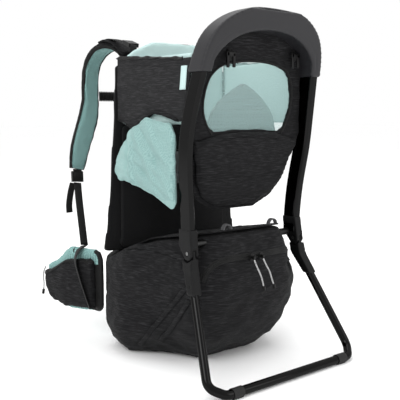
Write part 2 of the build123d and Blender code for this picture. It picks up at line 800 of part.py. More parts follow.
def cord(points, diameter, label):
    """A cord's tube along its route, with its length and radii printed."""
    radii = route_radii(points)
    with BuildPart() as tube:
        with BuildLine() as route:
            FilletPolyline(*points, radius=radii)
        with BuildSketch(Plane(origin=route.line @ 0, z_dir=route.line % 0)):
            Circle(diameter / 2)
        sweep(path=route.line)
    length = sum(edge.length for edge in route.edges())
    expected = pi * diameter**2 / 4 * length
    print(label, "radii", [round(r, 1) for r in radii], "length", round(length, 1), end=" ")
    print("volume ratio", round(tube.part.volume / expected, 4))
    return keep(tube, label)


def toggle(points, label):
    """The moulded grip at a pull's end, along the cord's last run."""
    end = Vector(*points[-1])
    way = (end - Vector(*points[-2])).normalized()
    with BuildPart() as grip:
        with BuildSketch(Plane(origin=end + way * 0.05, z_dir=way)):
            Circle(TOGGLE_RADIUS)
        extrude(amount=TOGGLE_LENGTH)
        fillet(grip.edges(), radius=1.6)
    return keep(grip, label)


for cord_name, points in PULL_ROUTES.items():
    if cord_name.startswith("zip"):
        cord(points, PULL_DIAMETER, cord_name)
        toggle(points, cord_name.replace("cord", "toggle"))


# ======== Child seat ==========================================================================
SEAT_BACK_Y = -112.0
with BuildPart() as seat_saddle:
    with BuildSketch(Plane.YZ):
        with BuildLine():
            FilletPolyline(
                (SEAT_BACK_Y, SEAT_Z + 70),
                (SEAT_BACK_Y + 12, SEAT_Z + 70),
                (SEAT_BACK_Y + 30, SEAT_Z + 16),
                (20, SEAT_Z + 16),
                (52, SEAT_Z + 74),
                (64, SEAT_Z + 74),
                (46, SEAT_Z),
                (SEAT_BACK_Y + 8, SEAT_Z),
                radius=5,
                close=True,
            )
        make_face()
    extrude(amount=SEAT_HALF, both=True)
keep(seat_saddle, "seat_saddle")

with BuildPart() as seat_carrier:
    with BuildSketch(Plane.XY.offset(SEAT_Z + 20)):
        with Locations((0, (64 + COCKPIT_FRONT_Y - SLIDE) / 2)):
            Rectangle(70, COCKPIT_FRONT_Y - SLIDE - 64.4)
    extrude(amount=52)
keep(seat_carrier, "seat_carrier")


# ======== Shoulder harness ====================================================================
yoke_y = pad_y + PAD_THICK - 6 + SLIDE
with BuildPart() as yoke:
    with BuildSketch(Plane.XZ.offset(-(pad_y + TRACK_THICK + SLIDE))):
        with Locations((0, 632)):
            RectangleRounded(2 * TRACK_HALF - 4, 60, 6)
    extrude(amount=-(yoke_y - pad_y - TRACK_THICK - SLIDE))
    with BuildSketch(Plane.XZ.offset(-yoke_y)):
        with BuildLine():
            FilletPolyline(
                *both_sides([(40, 668), (98, 660), (98, 618), (40, 596)]),
                radius=10,
                close=True,
            )
        make_face()
    extrude(amount=-14)
keep(yoke, "yoke")


def strap_plane(index):
    """Cross-section plane of the left strap: x across the strap, z along it."""
    before = Vector(*STRAP_ROUTE[max(index - 1, 0)])
    after = Vector(*STRAP_ROUTE[min(index + 1, len(STRAP_ROUTE) - 1)])
    way = (after - before).normalized()
    turn = radians(STRAP_TURN[index])
    across = Vector(cos(turn), sin(turn), 0)
    across = (across - way * across.dot(way)).normalized()
    return Plane(origin=Vector(*STRAP_ROUTE[index]), x_dir=across, z_dir=way)


with BuildPart() as shoulder_pad_left:
    for index in range(len(STRAP_ROUTE)):
        taper = 1 if index < 8 else (1, 0.9, 0.7)[index - 8]
        with BuildSketch(strap_plane(index)):
            RectangleRounded(STRAP_WIDTH * taper, STRAP_THICK * (0.5 + 0.5 * taper), 5)
    loft()
keep(shoulder_pad_left, "shoulder_pad_left")
shoulder_pad_right = mirrored(shoulder_pad_left, "shoulder_pad_right")


def band(start, end, width, thick, across):
    """A straight strip of webbing between two points."""
    way = Vector(*end) - Vector(*start)
    x_dir = (Vector(*across) - way.normalized() * Vector(*across).dot(way.normalized())).normalized()
    with BuildPart() as strip:
        with BuildSketch(Plane(origin=Vector(*start), x_dir=x_dir, z_dir=way)):
            Rectangle(width, thick)
        extrude(amount=way.length)
    return strip


strap_end = STRAP_ROUTE[-1]
lock_top = (strap_end[0] - 1, strap_end[1] - 1, strap_end[2] - 2)
lock_foot = (strap_end[0] - 3, strap_end[1] - 6, strap_end[2] - 28)
with BuildPart() as ladder_locks:
    add(band(lock_top, lock_foot, 30, 8, (1, 0, 0)).part)
    mirror(about=Plane.YZ)
keep(ladder_locks, "ladder_locks")

WEB_FOOT = (-198.0, 198.0, 229.0)
web_top = (strap_end[0] - 3, strap_end[1] - 7, strap_end[2] - 30)
lower_web_left = band(web_top, WEB_FOOT, WEB_WIDTH, WEB, (1, 0, 0))
keep(lower_web_left, "lower_web_left")
lower_web_right = mirrored(lower_web_left, "lower_web_right")

# load lifters: from the strap over the shoulder back to the buckles on the cockpit's front rim
LIFTER_START = (-104.0, 262.0, 721.0)
LIFTER_PEAK = (-106.0, 214.0, 729.0)
LIFTER_END = (-110.0, 133.0, 716.0)
with BuildPart() as lifter_web_left:
    add(band(LIFTER_START, LIFTER_PEAK, WEB_WIDTH, WEB, (1, 0, 0)).part)
    add(band(LIFTER_PEAK, LIFTER_END, WEB_WIDTH, WEB, (1, 0, 0)).part)
keep(lifter_web_left, "lifter_web_left")
lifter_web_right = mirrored(lifter_web_left, "lifter_web_right")

with BuildPart() as lifter_buckles:
    add(band((-110, 131.5, 714), (-111, 100.5, 704), 26, 9, (1, 0, 0)).part)
    mirror(about=Plane.YZ)
keep(lifter_buckles, "lifter_buckles")

STERNUM_Z = 592.0
STERNUM_HALF = 84.0
sternum_y = 312.0
with BuildPart() as sternum_strap:
    with BuildSketch(Plane.XZ.offset(-sternum_y)):
        with Locations((0, STERNUM_Z)):
            Rectangle(2 * STERNUM_HALF, WEB_WIDTH)
            Rectangle(2 * 24, WEB_WIDTH * 2, mode=Mode.SUBTRACT)
    extrude(amount=-WEB)
keep(sternum_strap, "sternum_strap")

with BuildPart() as sternum_buckle:
    with BuildSketch(Plane.XZ.offset(-(sternum_y - 3))):
        with Locations((0, STERNUM_Z)):
            RectangleRounded(2 * 23.5, WEB_WIDTH + 8, 5)
    extrude(amount=-9)
keep(sternum_buckle, "sternum_buckle")


# ======== Hip belt ============================================================================
def wing_layer(inner, outer, side_outline):
    """One layer of the left belt wing, between two distances outside its inner face."""
    line = [(WING_ROOT[0], WING_ROOT[1] - 20), WING_ROOT, WING_MID, WING_TIP, (WING_TIP[0], WING_TIP[1] + 20)]
    near = [(x - inner, y) for x, y in line]
    far = [(x - outer, y) for x, y in reversed(line)]
    with BuildPart() as layer:
        with BuildSketch(Plane.XY):
            with BuildLine():
                FilletPolyline(*(near + far), radius=2, close=True)
            make_face()
        extrude(amount=SPAN)
        with BuildSketch(Plane.YZ):
            with BuildLine():
                FilletPolyline(*side_outline, radius=12, close=True)
            make_face()
        extrude(amount=SPAN, both=True, mode=Mode.INTERSECT)
    return layer


hip_pad_side = [
    (WING_ROOT[1], 72),
    (WING_ROOT[1], 218),
    (224, 219),
    (272, 188),
    (WING_TIP[1], 170),
    (WING_TIP[1], 112),
    (284, 74),
    (226, 64),
]
with BuildPart() as hip_pad_left:
    add(wing_layer(0, WING_PAD, hip_pad_side).part)
    with BuildSketch(Plane.XY.offset(84)):
        with Locations((WING_ROOT[0] - WING_PAD / 2, WING_ROOT[1])):
            Circle(WING_PAD / 2)
    extrude(amount=122)
keep(hip_pad_left, "hip_pad_left")
hip_pad_right = mirrored(hip_pad_left, "hip_pad_right")

hip_pocket_side = [
    (WING_ROOT[1] + 8, 78),
    (WING_ROOT[1] + 8, 208),
    (220, 202),
    (268, 174),
    (WING_TIP[1] - 6, 158),
    (WING_TIP[1] - 6, 112),
    (280, 80),
    (226, 70),
]
hip_pocket_left = wing_layer(WING_PAD + GAP, WING_PAD + WING_POCKET, hip_pocket_side)
keep(hip_pocket_left, "hip_pocket_left")
hip_pocket_right = mirrored(hip_pocket_left, "hip_pocket_right")

belt_cord_left = cord(PULL_ROUTES["belt_cord_left"], PULL_DIAMETER, "belt_cord_left")
belt_cord_right = mirrored(belt_cord_left, "belt_cord_right")
belt_toggle_left = toggle(PULL_ROUTES["belt_cord_left"], "belt_toggle_left")
belt_toggle_right = mirrored(belt_toggle_left, "belt_toggle_right")
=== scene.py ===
# %% [markdown]
# This file dresses a framed child carrier backpack. The frame below holds every rigid piece at its
# real place and size, in metres: +X is the wearer's right, +Y the way the wearer faces, +Z up.
# Cloth, pads, webbing, cords and finishes are made here around that frame.

# %% Load the fixed frame
import json
from math import cos, pi, radians, sin

import bpy
import numpy as np
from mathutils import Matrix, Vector, noise
from mathutils.bvhtree import BVHTree


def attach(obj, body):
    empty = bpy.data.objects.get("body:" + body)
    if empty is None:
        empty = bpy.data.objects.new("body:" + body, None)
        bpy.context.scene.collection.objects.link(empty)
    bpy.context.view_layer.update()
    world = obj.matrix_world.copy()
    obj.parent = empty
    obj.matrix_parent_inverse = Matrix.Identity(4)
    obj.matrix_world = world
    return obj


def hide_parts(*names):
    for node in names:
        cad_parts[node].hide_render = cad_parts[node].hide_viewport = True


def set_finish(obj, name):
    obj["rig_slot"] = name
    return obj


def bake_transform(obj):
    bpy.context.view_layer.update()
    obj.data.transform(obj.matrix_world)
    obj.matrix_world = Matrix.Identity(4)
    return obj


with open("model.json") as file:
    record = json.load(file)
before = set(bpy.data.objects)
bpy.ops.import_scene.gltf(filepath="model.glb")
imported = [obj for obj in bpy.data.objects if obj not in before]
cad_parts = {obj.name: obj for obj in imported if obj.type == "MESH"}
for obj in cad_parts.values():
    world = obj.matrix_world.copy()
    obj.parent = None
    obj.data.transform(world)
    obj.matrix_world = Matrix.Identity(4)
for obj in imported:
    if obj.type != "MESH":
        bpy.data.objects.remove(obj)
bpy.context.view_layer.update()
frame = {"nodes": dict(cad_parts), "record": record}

# %% [markdown]
# The camera stands behind the carrier's left shoulder, a little above its middle, and looks slightly
# down. A long lens keeps the hoop's two legs nearly parallel.

# %% Camera
MM = 0.001
EYE = (-0.984, -1.263, 0.543)
HEADING = 38.07          # degrees from straight ahead, towards the wearer's right
DIP = 7.1                # degrees below level
LENS = 61.2

camera_data = bpy.data.cameras.new("carrier_camera")
camera_data.sensor_width = 36
camera_data.lens = LENS
camera = bpy.data.objects.new("carrier_camera", camera_data)
bpy.context.scene.collection.objects.link(camera)
camera.location = EYE
camera.rotation_euler = (radians(90 - DIP), 0, -radians(HEADING))
bpy.context.scene.camera = camera
print("camera lens", LENS, "at", EYE)

# %% [markdown]
# Soft studio light: a white surround fills the shadows, one wide lamp from the left gives form, a
# second from behind the right draws bright lines along the lacquered tubes, and a third shines down
# on the cap and the straps.

# %% Floor and light
def wide_lamp(name, place, aim, power, size):
    lamp_data = bpy.data.lights.new(name, "AREA")
    lamp_data.shape = "RECTANGLE"
    lamp_data.size, lamp_data.size_y = size
    lamp_data.energy = power
    lamp = bpy.data.objects.new(name, lamp_data)
    bpy.context.scene.collection.objects.link(lamp)
    lamp.location = place
    lamp.rotation_euler = (Vector(aim) - Vector(place)).to_track_quat("-Z", "Y").to_euler()
    return lamp


MIDDLE = (0, 0, 0.38)
wide_lamp("key_lamp", (-2.6, -1.2, 2.3), MIDDLE, 48, (1.8, 1.8))
wide_lamp("fill_lamp", (1.4, -2.8, 1.5), MIDDLE, 20, (1.6, 2.0))
wide_lamp("top_lamp", (0.2, 0.6, 3.0), MIDDLE, 36, (2.4, 2.4))

world = bpy.data.worlds.new("studio")
bpy.context.scene.world = world
world.use_nodes = True
surround = world.node_tree.nodes["Background"]
surround.inputs["Color"].default_value = (1.0, 1.0, 1.0, 1)
surround.inputs["Strength"].default_value = 1.0
bpy.context.scene.view_settings.view_transform = "Standard"

floor_mesh = bpy.data.meshes.new("studio_floor")
REACH = 30
floor_corners = [(-REACH, -REACH, 0), (REACH, -REACH, 0), (REACH, REACH, 0), (-REACH, REACH, 0)]
floor_mesh.from_pydata(floor_corners, [], [(0, 1, 2, 3)])
floor = bpy.data.objects.new("studio_floor", floor_mesh)
bpy.context.scene.collection.objects.link(floor)
floor.location.z = -0.0006
floor_finish = bpy.data.materials.new("studio_floor")
floor_finish.use_nodes = True
floor_paint = floor_finish.node_tree.nodes["Principled BSDF"]
floor_paint.inputs["Base Color"].default_value = (1.0, 1.0, 1.0, 1)
floor_paint.inputs["Roughness"].default_value = 0.9
floor_mesh.materials.append(floor_finish)
print("lamps and floor in place")

# %% [markdown]
# Cloth is never one flat colour. Yarn crosses yarn, slubs run along the weft, meshes have holes
# whose insides are painted darker as shade, and edges of plastic are painted paler, partly as rubbed
# wear and partly as a painted highlight. Each of those effects is made once as a node group with its
# own inputs, so that every finish below only chooses its numbers.

# %% A small helper to build node groups
def effect_group(name, inputs, outputs):
    group = bpy.data.node_groups.new(name, "ShaderNodeTree")
    for label, kind, value in inputs:
        socket = group.interface.new_socket(label, in_out="INPUT", socket_type=kind)
        socket.default_value = value
    for label, kind in outputs:
        group.interface.new_socket(label, in_out="OUTPUT", socket_type=kind)
    entry = group.nodes.new("NodeGroupInput")
    leave = group.nodes.new("NodeGroupOutput")
    return group, entry, leave


def calculate(tree, operation, *values):
    """A Math node; each value is a number or another node's output."""
    node = tree.nodes.new("ShaderNodeMath")
    node.operation = operation
    for slot, value in enumerate(values):
        if isinstance(value, (int, float)):
            node.inputs[slot].default_value = value
        else:
            tree.links.new(value, node.inputs[slot])
    return node.outputs[0]


def mix_colours(tree, share, low, high):
    """A blend from the low colour to the high one; each is a colour or another node's output."""
    mix = tree.nodes.new("ShaderNodeMix")
    mix.data_type = "RGBA"
    tree.links.new(share, mix.inputs[0])
    for slot, colour in ((6, low), (7, high)):
        if isinstance(colour, tuple):
            mix.inputs[slot].default_value = colour
        else:
            tree.links.new(colour, mix.inputs[slot])
    return mix.outputs[2]


def place_axes(tree):
    """The surface point's own X, Y and Z in metres."""
    place = tree.nodes.new("ShaderNodeTexCoord")
    split = tree.nodes.new("ShaderNodeSeparateXYZ")
    tree.links.new(place.outputs["Object"], split.inputs[0])
    return place.outputs["Object"], split.outputs


# %% [markdown]
# Plain weave: two families of yarn cross at right angles. The product of two sine waves gives the
# small pillows between crossings. Their pitch is a real thread spacing, so it reads as cloth up close
# and melts into a soft surface from afar.

# %% Weave
FLOAT, COLOUR = "NodeSocketFloat", "NodeSocketColor"


def build_weave():
    group, entry, leave = effect_group("yarn_weave", [("Pitch", FLOAT, 0.0012)], [("Height", FLOAT)])
    _, (x, y, z) = place_axes(group)
    turns = calculate(group, "DIVIDE", 2 * pi, entry.outputs["Pitch"])
    weft = calculate(group, "SINE", calculate(group, "MULTIPLY", calculate(group, "ADD", x, y), turns))
    warp = calculate(group, "SINE", calculate(group, "MULTIPLY", z, turns))
    pillow = calculate(group, "MULTIPLY", weft, warp)
    group.links.new(calculate(group, "MULTIPLY_ADD", pillow, 0.5, 0.5), leave.inputs["Height"])
    return group


WEAVE = build_weave()

# %% [markdown]
# Heathered yarn: the dark cloth is spun from two greys, so short pale dashes run along the weft. A
# noise stretched thirty times sideways gives dashes of the right length, and a ramp keeps few of them.

# %% Heather dashes
def build_heather():
    group, entry, leave = effect_group(
        "heather_dashes", [("Ground", COLOUR, (0.02, 0.02, 0.02, 1)), ("Fleck", COLOUR, (0.1, 0.1, 0.1, 1)),
                           ("Amount", FLOAT, 0.6)], [("Color", COLOUR), ("Mask", FLOAT)])
    where, _ = place_axes(group)
    stretch = group.nodes.new("ShaderNodeMapping")
    stretch.inputs["Scale"].default_value = (46, 46, 900)
    group.links.new(where, stretch.inputs["Vector"])
    dashes = group.nodes.new("ShaderNodeTexNoise")
    dashes.inputs["Scale"].default_value = 1.0
    dashes.inputs["Detail"].default_value = 3.0
    group.links.new(stretch.outputs[0], dashes.inputs["Vector"])
    few = group.nodes.new("ShaderNodeMapRange")
    few.inputs["From Min"].default_value = 0.50
    few.inputs["From Max"].default_value = 0.72
    group.links.new(dashes.outputs["Fac"], few.inputs["Value"])
    mask = calculate(group, "MULTIPLY", few.outputs[0], entry.outputs["Amount"])
    speckled = mix_colours(group, mask, entry.outputs["Ground"], entry.outputs["Fleck"])
    group.links.new(speckled, leave.inputs["Color"])
    group.links.new(mask, leave.inputs["Mask"])
    return group


HEATHER = build_heather()

# %% [markdown]
# Spacer mesh and netting: rows of round holes. Cells of a Voronoi pattern stand for the holes; the
# distance to each cell's middle says how deep the hole is, and can also cut it open. The same
# distance is used to paint each hole darker, as shade inside the hole.

# %% Knitted holes
def build_knit():
    group, entry, leave = effect_group("knit_holes", [("Pitch", FLOAT, 0.0032), ("Hole", FLOAT, 0.33)],
                                       [("Height", FLOAT), ("Thread", FLOAT)])
    _, (x, y, z) = place_axes(group)
    flat = group.nodes.new("ShaderNodeCombineXYZ")
    group.links.new(calculate(group, "MULTIPLY_ADD", y, 0.7, x), flat.inputs[0])
    group.links.new(z, flat.inputs[1])
    cells = group.nodes.new("ShaderNodeTexVoronoi")
    cells.voronoi_dimensions = "2D"
    cells.inputs["Randomness"].default_value = 0.3
    group.links.new(flat.outputs[0], cells.inputs["Vector"])
    group.links.new(calculate(group, "DIVIDE", 1.0, entry.outputs["Pitch"]), cells.inputs["Scale"])
    rim = group.nodes.new("ShaderNodeMapRange")
    group.links.new(calculate(group, "SUBTRACT", entry.outputs["Hole"], 0.14), rim.inputs["From Min"])
    group.links.new(calculate(group, "ADD", entry.outputs["Hole"], 0.14), rim.inputs["From Max"])
    group.links.new(cells.outputs["Distance"], rim.inputs["Value"])
    group.links.new(rim.outputs[0], leave.inputs["Height"])
    group.links.new(rim.outputs[0], leave.inputs["Thread"])
    return group


KNIT = build_knit()

# %% [markdown]
# Moulded plastic and rubber have a fine spark-eroded grain, and lacquer has faint orange peel. One
# fine noise serves all of them at different sizes. Pointed edges are painted a paler colour: partly
# rubbed wear, partly a painted highlight along the edges.

# %% Mould grain, and edges painted paler as wear and highlight
def build_grain():
    group, entry, leave = effect_group("mould_grain", [("Scale", FLOAT, 900.0)],
                                       [("Height", FLOAT), ("Mottle", FLOAT)])
    where, _ = place_axes(group)
    for label, share in (("Height", 1.0), ("Mottle", 0.03)):
        speck = group.nodes.new("ShaderNodeTexNoise")
        speck.inputs["Detail"].default_value = 3.0
        group.links.new(where, speck.inputs["Vector"])
        group.links.new(calculate(group, "MULTIPLY", entry.outputs["Scale"], share), speck.inputs["Scale"])
        group.links.new(speck.outputs["Fac"], leave.inputs[label])
    return group


def build_worn_highlit_edges():
    group, entry, leave = effect_group(
        "worn_and_highlit_edges", [("Ground", COLOUR, (0.1, 0.1, 0.1, 1)), ("Worn", COLOUR, (0.2, 0.2, 0.2, 1)),
                         ("Amount", FLOAT, 0.5)], [("Color", COLOUR)])
    shape = group.nodes.new("ShaderNodeNewGeometry")
    edge = group.nodes.new("ShaderNodeMapRange")
    edge.inputs["From Min"].default_value = 0.52
    edge.inputs["From Max"].default_value = 0.62
    group.links.new(shape.outputs["Pointiness"], edge.inputs["Value"])
    # pointed edges take the second colour: rubbed wear and a painted highlight
    mask = calculate(group, "MULTIPLY", edge.outputs[0], entry.outputs["Amount"])
    worn_highlit = mix_colours(group, mask, entry.outputs["Ground"], entry.outputs["Worn"])
    group.links.new(worn_highlit, leave.inputs["Color"])
    return group


GRAIN, WORN_HIGHLIT_EDGES = build_grain(), build_worn_highlit_edges()
print("effects:", [g.name for g in bpy.data.node_groups])

# %% [markdown]
# A finish is a Principled shader with those effects plugged in. Cloth gets sheen and a high
# roughness, plastic a grain and edges painted pale as rubbed wear and as a painted highlight, lacquer
# a clear coat over near-black paint.

# %% Finishes
def start_finish(name, roughness, sheen=0.0, coat=0.0, metallic=0.0, specular=0.5):
    finish = bpy.data.materials.new(name)
    finish.use_nodes = True
    shader = finish.node_tree.nodes["Principled BSDF"]
    shader.inputs["Roughness"].default_value = roughness
    shader.inputs["Sheen Weight"].default_value = sheen
    shader.inputs["Specular IOR Level"].default_value = specular
    shader.inputs["Coat Weight"].default_value = coat
    shader.inputs["Coat Roughness"].default_value = 0.06
    shader.inputs["Metallic"].default_value = metallic
    return finish, finish.node_tree, shader


def use(tree, group, **values):
    node = tree.nodes.new("ShaderNodeGroup")
    node.node_tree = group
    for label, value in values.items():
        node.inputs[label].default_value = value
    return node


def bump(tree, shader, height, depth, strength=0.6):
    node = tree.nodes.new("ShaderNodeBump")
    node.inputs["Strength"].default_value = strength
    node.inputs["Distance"].default_value = depth
    tree.links.new(height, node.inputs["Height"])
    tree.links.new(node.outputs[0], shader.inputs["Normal"])


def heather_cloth(name, ground, fleck, amount, roughness=0.85, sheen=0.25, pitch=0.0013):
    finish, tree, shader = start_finish(name, roughness, sheen, specular=0.16)
    colour = use(tree, HEATHER, Ground=ground, Fleck=fleck, Amount=amount)
    tree.links.new(colour.outputs["Color"], shader.inputs["Base Color"])
    yarn = use(tree, WEAVE, Pitch=pitch)
    height = calculate(tree, "MULTIPLY_ADD", colour.outputs["Mask"], 0.6, yarn.outputs["Height"])
    bump(tree, shader, height, 0.0005, 0.5)
    return finish


def knit_cloth(name, thread, hole_shade, pitch, roughness=0.8, sheen=0.06, depth=0.0009, opening=1.0,
               hole_size=0.33):
    """Spacer mesh; opening below 1 lets light through the holes."""
    finish, tree, shader = start_finish(name, roughness, sheen, specular=0.16)
    holes = use(tree, KNIT, Pitch=pitch, Hole=hole_size)
    # holes get the darker colour: painted shade inside each hole
    knitted = mix_colours(tree, holes.outputs["Thread"], hole_shade, thread)
    tree.links.new(knitted, shader.inputs["Base Color"])
    bump(tree, shader, holes.outputs["Height"], depth, 0.7)
    if opening < 1:
        share = calculate(tree, "MULTIPLY_ADD", holes.outputs["Thread"], 1 - opening, opening)
        tree.links.new(share, shader.inputs["Alpha"])
    return finish


def moulded(name, ground, worn_highlight, roughness, scale, amount, coat=0.0, metallic=0.0, depth=0.00025,
            specular=0.35):
    finish, tree, shader = start_finish(name, roughness, coat=coat, metallic=metallic, specular=specular)
    # edges get the paler colour: rubbed wear and a painted highlight
    edge = use(tree, WORN_HIGHLIT_EDGES, Ground=ground, Worn=worn_highlight, Amount=amount)
    tree.links.new(edge.outputs["Color"], shader.inputs["Base Color"])
    grain = use(tree, GRAIN, Scale=scale)
    uneven = calculate(tree, "MULTIPLY_ADD", grain.outputs["Mottle"], 0.14, roughness - 0.07)
    tree.links.new(uneven, shader.inputs["Roughness"])
    bump(tree, shader, grain.outputs["Height"], depth, 0.35)
    return finish


def grey(value, blue=1.0):
    return (value, value, value * blue, 1)


AQUA = (0.25, 0.43, 0.415, 1)
AQUA_PALE = (0.26, 0.405, 0.39, 1)
CHARCOAL = grey(0.0045, 1.12)
finishes = {
    # the second colour of each moulded finish paints its pointed edges paler: rubbed wear and a painted
    # highlight
    "gloss_tube": moulded("black_lacquer", grey(0.001), grey(0.003), 0.3, 260.0, 0.3, coat=0.3,
                          metallic=1.0, depth=0.00003),
    "grey_cap": moulded("warm_grey_cap", (0.0115, 0.0112, 0.0132, 1), (0.022, 0.022, 0.025, 1), 0.5,
                        1300.0, 0.3),
    "grey_plastic": moulded("grey_hinge_plastic", grey(0.0035, 1.05), grey(0.014, 1.05), 0.46, 1300.0, 0.4,
                            specular=0.14),
    "black_plastic": moulded("black_acetal", grey(0.003), grey(0.012), 0.45, 1500.0, 0.5, specular=0.2),
    "rubber": moulded("foot_rubber", grey(0.006), grey(0.014), 0.75, 700.0, 0.4),
    "alloy": moulded("dark_alloy", grey(0.02), grey(0.05), 0.35, 500.0, 0.4, metallic=1.0),
    "steel": moulded("pin_steel", grey(0.12), grey(0.2), 0.3, 500.0, 0.4, metallic=1.0),
    "heather_cloth": heather_cloth("heathered_charcoal", CHARCOAL, grey(0.032, 1.06), 0.85, sheen=0.02),
    "smooth_cloth": heather_cloth("smooth_charcoal", grey(0.0045, 1.1), grey(0.010, 1.05), 0.35, 0.78,
                                  0.02, 0.0009),
    "aqua_cloth": heather_cloth("aqua_lining", AQUA_PALE, (0.33, 0.48, 0.465, 1), 0.25, 0.85, 0.08, 0.001),
    # a brighter copy of the aqua lining: painted light for lining that sits in shade
    "aqua_painted_light": heather_cloth("aqua_lining_painted_light", (0.50, 0.66, 0.645, 1), (0.58, 0.72, 0.70, 1), 0.25,
                               0.85, 0.1, 0.001),
    # in the mesh finishes below, the second colour is painted shade inside the holes
    "aqua_foam": knit_cloth("aqua_spacer_mesh", AQUA, (0.10, 0.21, 0.20, 1), 0.0026, sheen=0.08),
    "aqua_mesh": knit_cloth("aqua_netting", (0.36, 0.52, 0.505, 1), (0.26, 0.4, 0.39, 1), 0.0024,
                            roughness=0.75, depth=0.0002, opening=0.22, hole_size=0.44),
    "mesh_pad": knit_cloth("charcoal_spacer_mesh", grey(0.016), grey(0.004), 0.0036),
    "seat_cloth": heather_cloth("grey_seat_lining", grey(0.06, 1.04), grey(0.1, 1.03), 0.5, sheen=0.08),
    "heather_light": heather_cloth("heathered_grey", grey(0.0085, 1.1), grey(0.042, 1.05), 0.8, sheen=0.03),
    "aqua_open": knit_cloth("aqua_open_mesh", AQUA_PALE, (0.19, 0.32, 0.31, 1), 0.003, hole_size=0.34),
    "seat_net": knit_cloth("grey_seat_netting", grey(0.24, 1.02), grey(0.05, 1.02), 0.0036, sheen=0.08),
    "webbing": heather_cloth("black_webbing", grey(0.005), grey(0.016), 0.4, 0.6, 0.04, 0.0018),
    "cord_grey": heather_cloth("braided_grey_cord", grey(0.38), grey(0.08), 0.9, 0.7, 0.1, 0.0012),
}
# lacquer over black paint reflects only in its thin clear coat
lacquer = finishes["gloss_tube"].node_tree.nodes["Principled BSDF"]
lacquer.inputs["Specular Tint"].default_value = (0, 0, 0, 1)
for part in frame["record"]["subparts"]:
    cad = frame["nodes"][part["node"]]
    cad.data.materials.clear()
    cad.data.materials.append(finishes[part["material_slot"]])
print("finishes:", len(finishes))

# %% [markdown]
# Soft pieces start as copies of the frame's plain solids, so that they sit exactly in the space that
# was kept for them. Each copy gets an even skin of small faces, is blown up a little as cloth over
# foam, and is then shaped with folds and seams.

# %% Mesh helpers
def add_mesh(name, points, faces, finish):
    mesh = bpy.data.meshes.new(name)
    mesh.from_pydata([tuple(p) for p in points], [], faces)
    mesh.update()
    obj = bpy.data.objects.new(name, mesh)
    bpy.context.scene.collection.objects.link(obj)
    mesh.materials.append(finish)
    for face in mesh.polygons:
        face.use_smooth = True
    return obj


def settle(obj):
    """Apply every modifier and keep only the resulting mesh."""
    bpy.context.view_layer.update()
    graph = bpy.context.evaluated_depsgraph_get()
    mesh = bpy.data.meshes.new_from_object(obj.evaluated_get(graph))
    obj.modifiers.clear()
    obj.data = mesh
    for face in mesh.polygons:
        face.use_smooth = True
    return obj


def points_of(obj):
    flat = np.empty(len(obj.data.vertices) * 3)
    obj.data.vertices.foreach_get("co", flat)
    return flat.reshape(-1, 3)


def normals_of(obj):
    flat = np.empty(len(obj.data.vertices) * 3, np.float32)
    obj.data.vertex_normals.foreach_get("vector", flat)
    return flat.reshape(-1, 3).astype(float)


def move_points(obj, places):
    obj.data.vertices.foreach_set("co", places.ravel())
    obj.data.update()


def skin_copy(node, name, voxel, finish_slot):
    """A copy of a frame piece with an even skin of faces."""
    mesh = frame["nodes"][node].data.copy()
    mesh.name = name
    obj = bpy.data.objects.new(name, mesh)
    bpy.context.scene.collection.objects.link(obj)
    mesh.materials.clear()
    mesh.materials.append(finishes[finish_slot])
    skin = obj.modifiers.new("skin", "REMESH")
    skin.mode = "VOXEL"
    skin.voxel_size = voxel
    settle(obj)
    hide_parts(node)
    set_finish(obj, finish_slot)
    return obj


def soften(obj, turns, factor=0.5):
    smooth = obj.modifiers.new("soften", "SMOOTH")
    smooth.factor = factor
    smooth.iterations = turns
    return settle(obj)


def subdivide(obj):
    obj.modifiers.new("finer", "SUBSURF").levels = 1
    obj.modifiers["finer"].render_levels = 1
    return settle(obj)


def opposite(obj, name, *nodes):
    """The mirrored twin for the wearer's other side."""
    mesh = obj.data.copy()
    twin = bpy.data.objects.new(name, mesh)
    bpy.context.scene.collection.objects.link(twin)
    places = points_of(twin)
    places[:, 0] *= -1
    move_points(twin, places)
    mesh.flip_normals()
    if nodes:
        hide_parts(*nodes)
    if "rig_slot" in obj:
        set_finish(twin, obj["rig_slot"])
    return twin


# %% [markdown]
# Padding pushes the cloth out until its yarn is tight. The Cloth modifier does that with pressure and
# no gravity. How far a point may move is capped, so a pad stays in its place. All pads are blown up in
# one run of twenty frames, which is quicker than one run each.

# %% Cloth pressure for all padded pieces
waiting = []


def plan_padding(obj, inset, pressure, cap):
    """Pull a skin in a little and put it in line for the pressure run."""
    move_points(obj, points_of(obj) - normals_of(obj) * inset)
    waiting.append((obj, pressure, cap))


def blow_up_all():
    for obj, pressure, cap in waiting:
        cloth = obj.modifiers.new("pressure", "CLOTH")
        cloth.settings.quality = 4
        cloth.settings.use_pressure = True
        cloth.settings.uniform_pressure_force = pressure
        cloth.settings.effector_weights.gravity = 0
        cloth.settings.tension_stiffness = 12
        cloth.settings.compression_stiffness = 12
        cloth.settings.bending_stiffness = 0.3
        cloth.point_cache.frame_start = 1
        cloth.point_cache.frame_end = 20
    for step in range(1, 21):
        bpy.context.scene.frame_set(step)
    graph = bpy.context.evaluated_depsgraph_get()
    for obj, pressure, cap in waiting:
        before = points_of(obj)
        shaped = obj.evaluated_get(graph).to_mesh()
        after = np.empty(len(shaped.vertices) * 3)
        shaped.vertices.foreach_get("co", after)
        after = after.reshape(-1, 3)
        obj.evaluated_get(graph).to_mesh_clear()
        step = after - before
        length = np.linalg.norm(step, axis=1, keepdims=True) + 1e-9
        obj.modifiers.clear()
        move_points(obj, before + step * np.minimum(1, cap / length))
    bpy.context.scene.frame_set(1)
    waiting.clear()


# %% [markdown]
# Folds, seams and sewn channels are strokes on the skin: every point near a stroke moves along its
# own normal, out for a fold and in for a seam. Gentle creases everywhere come from layered noise.

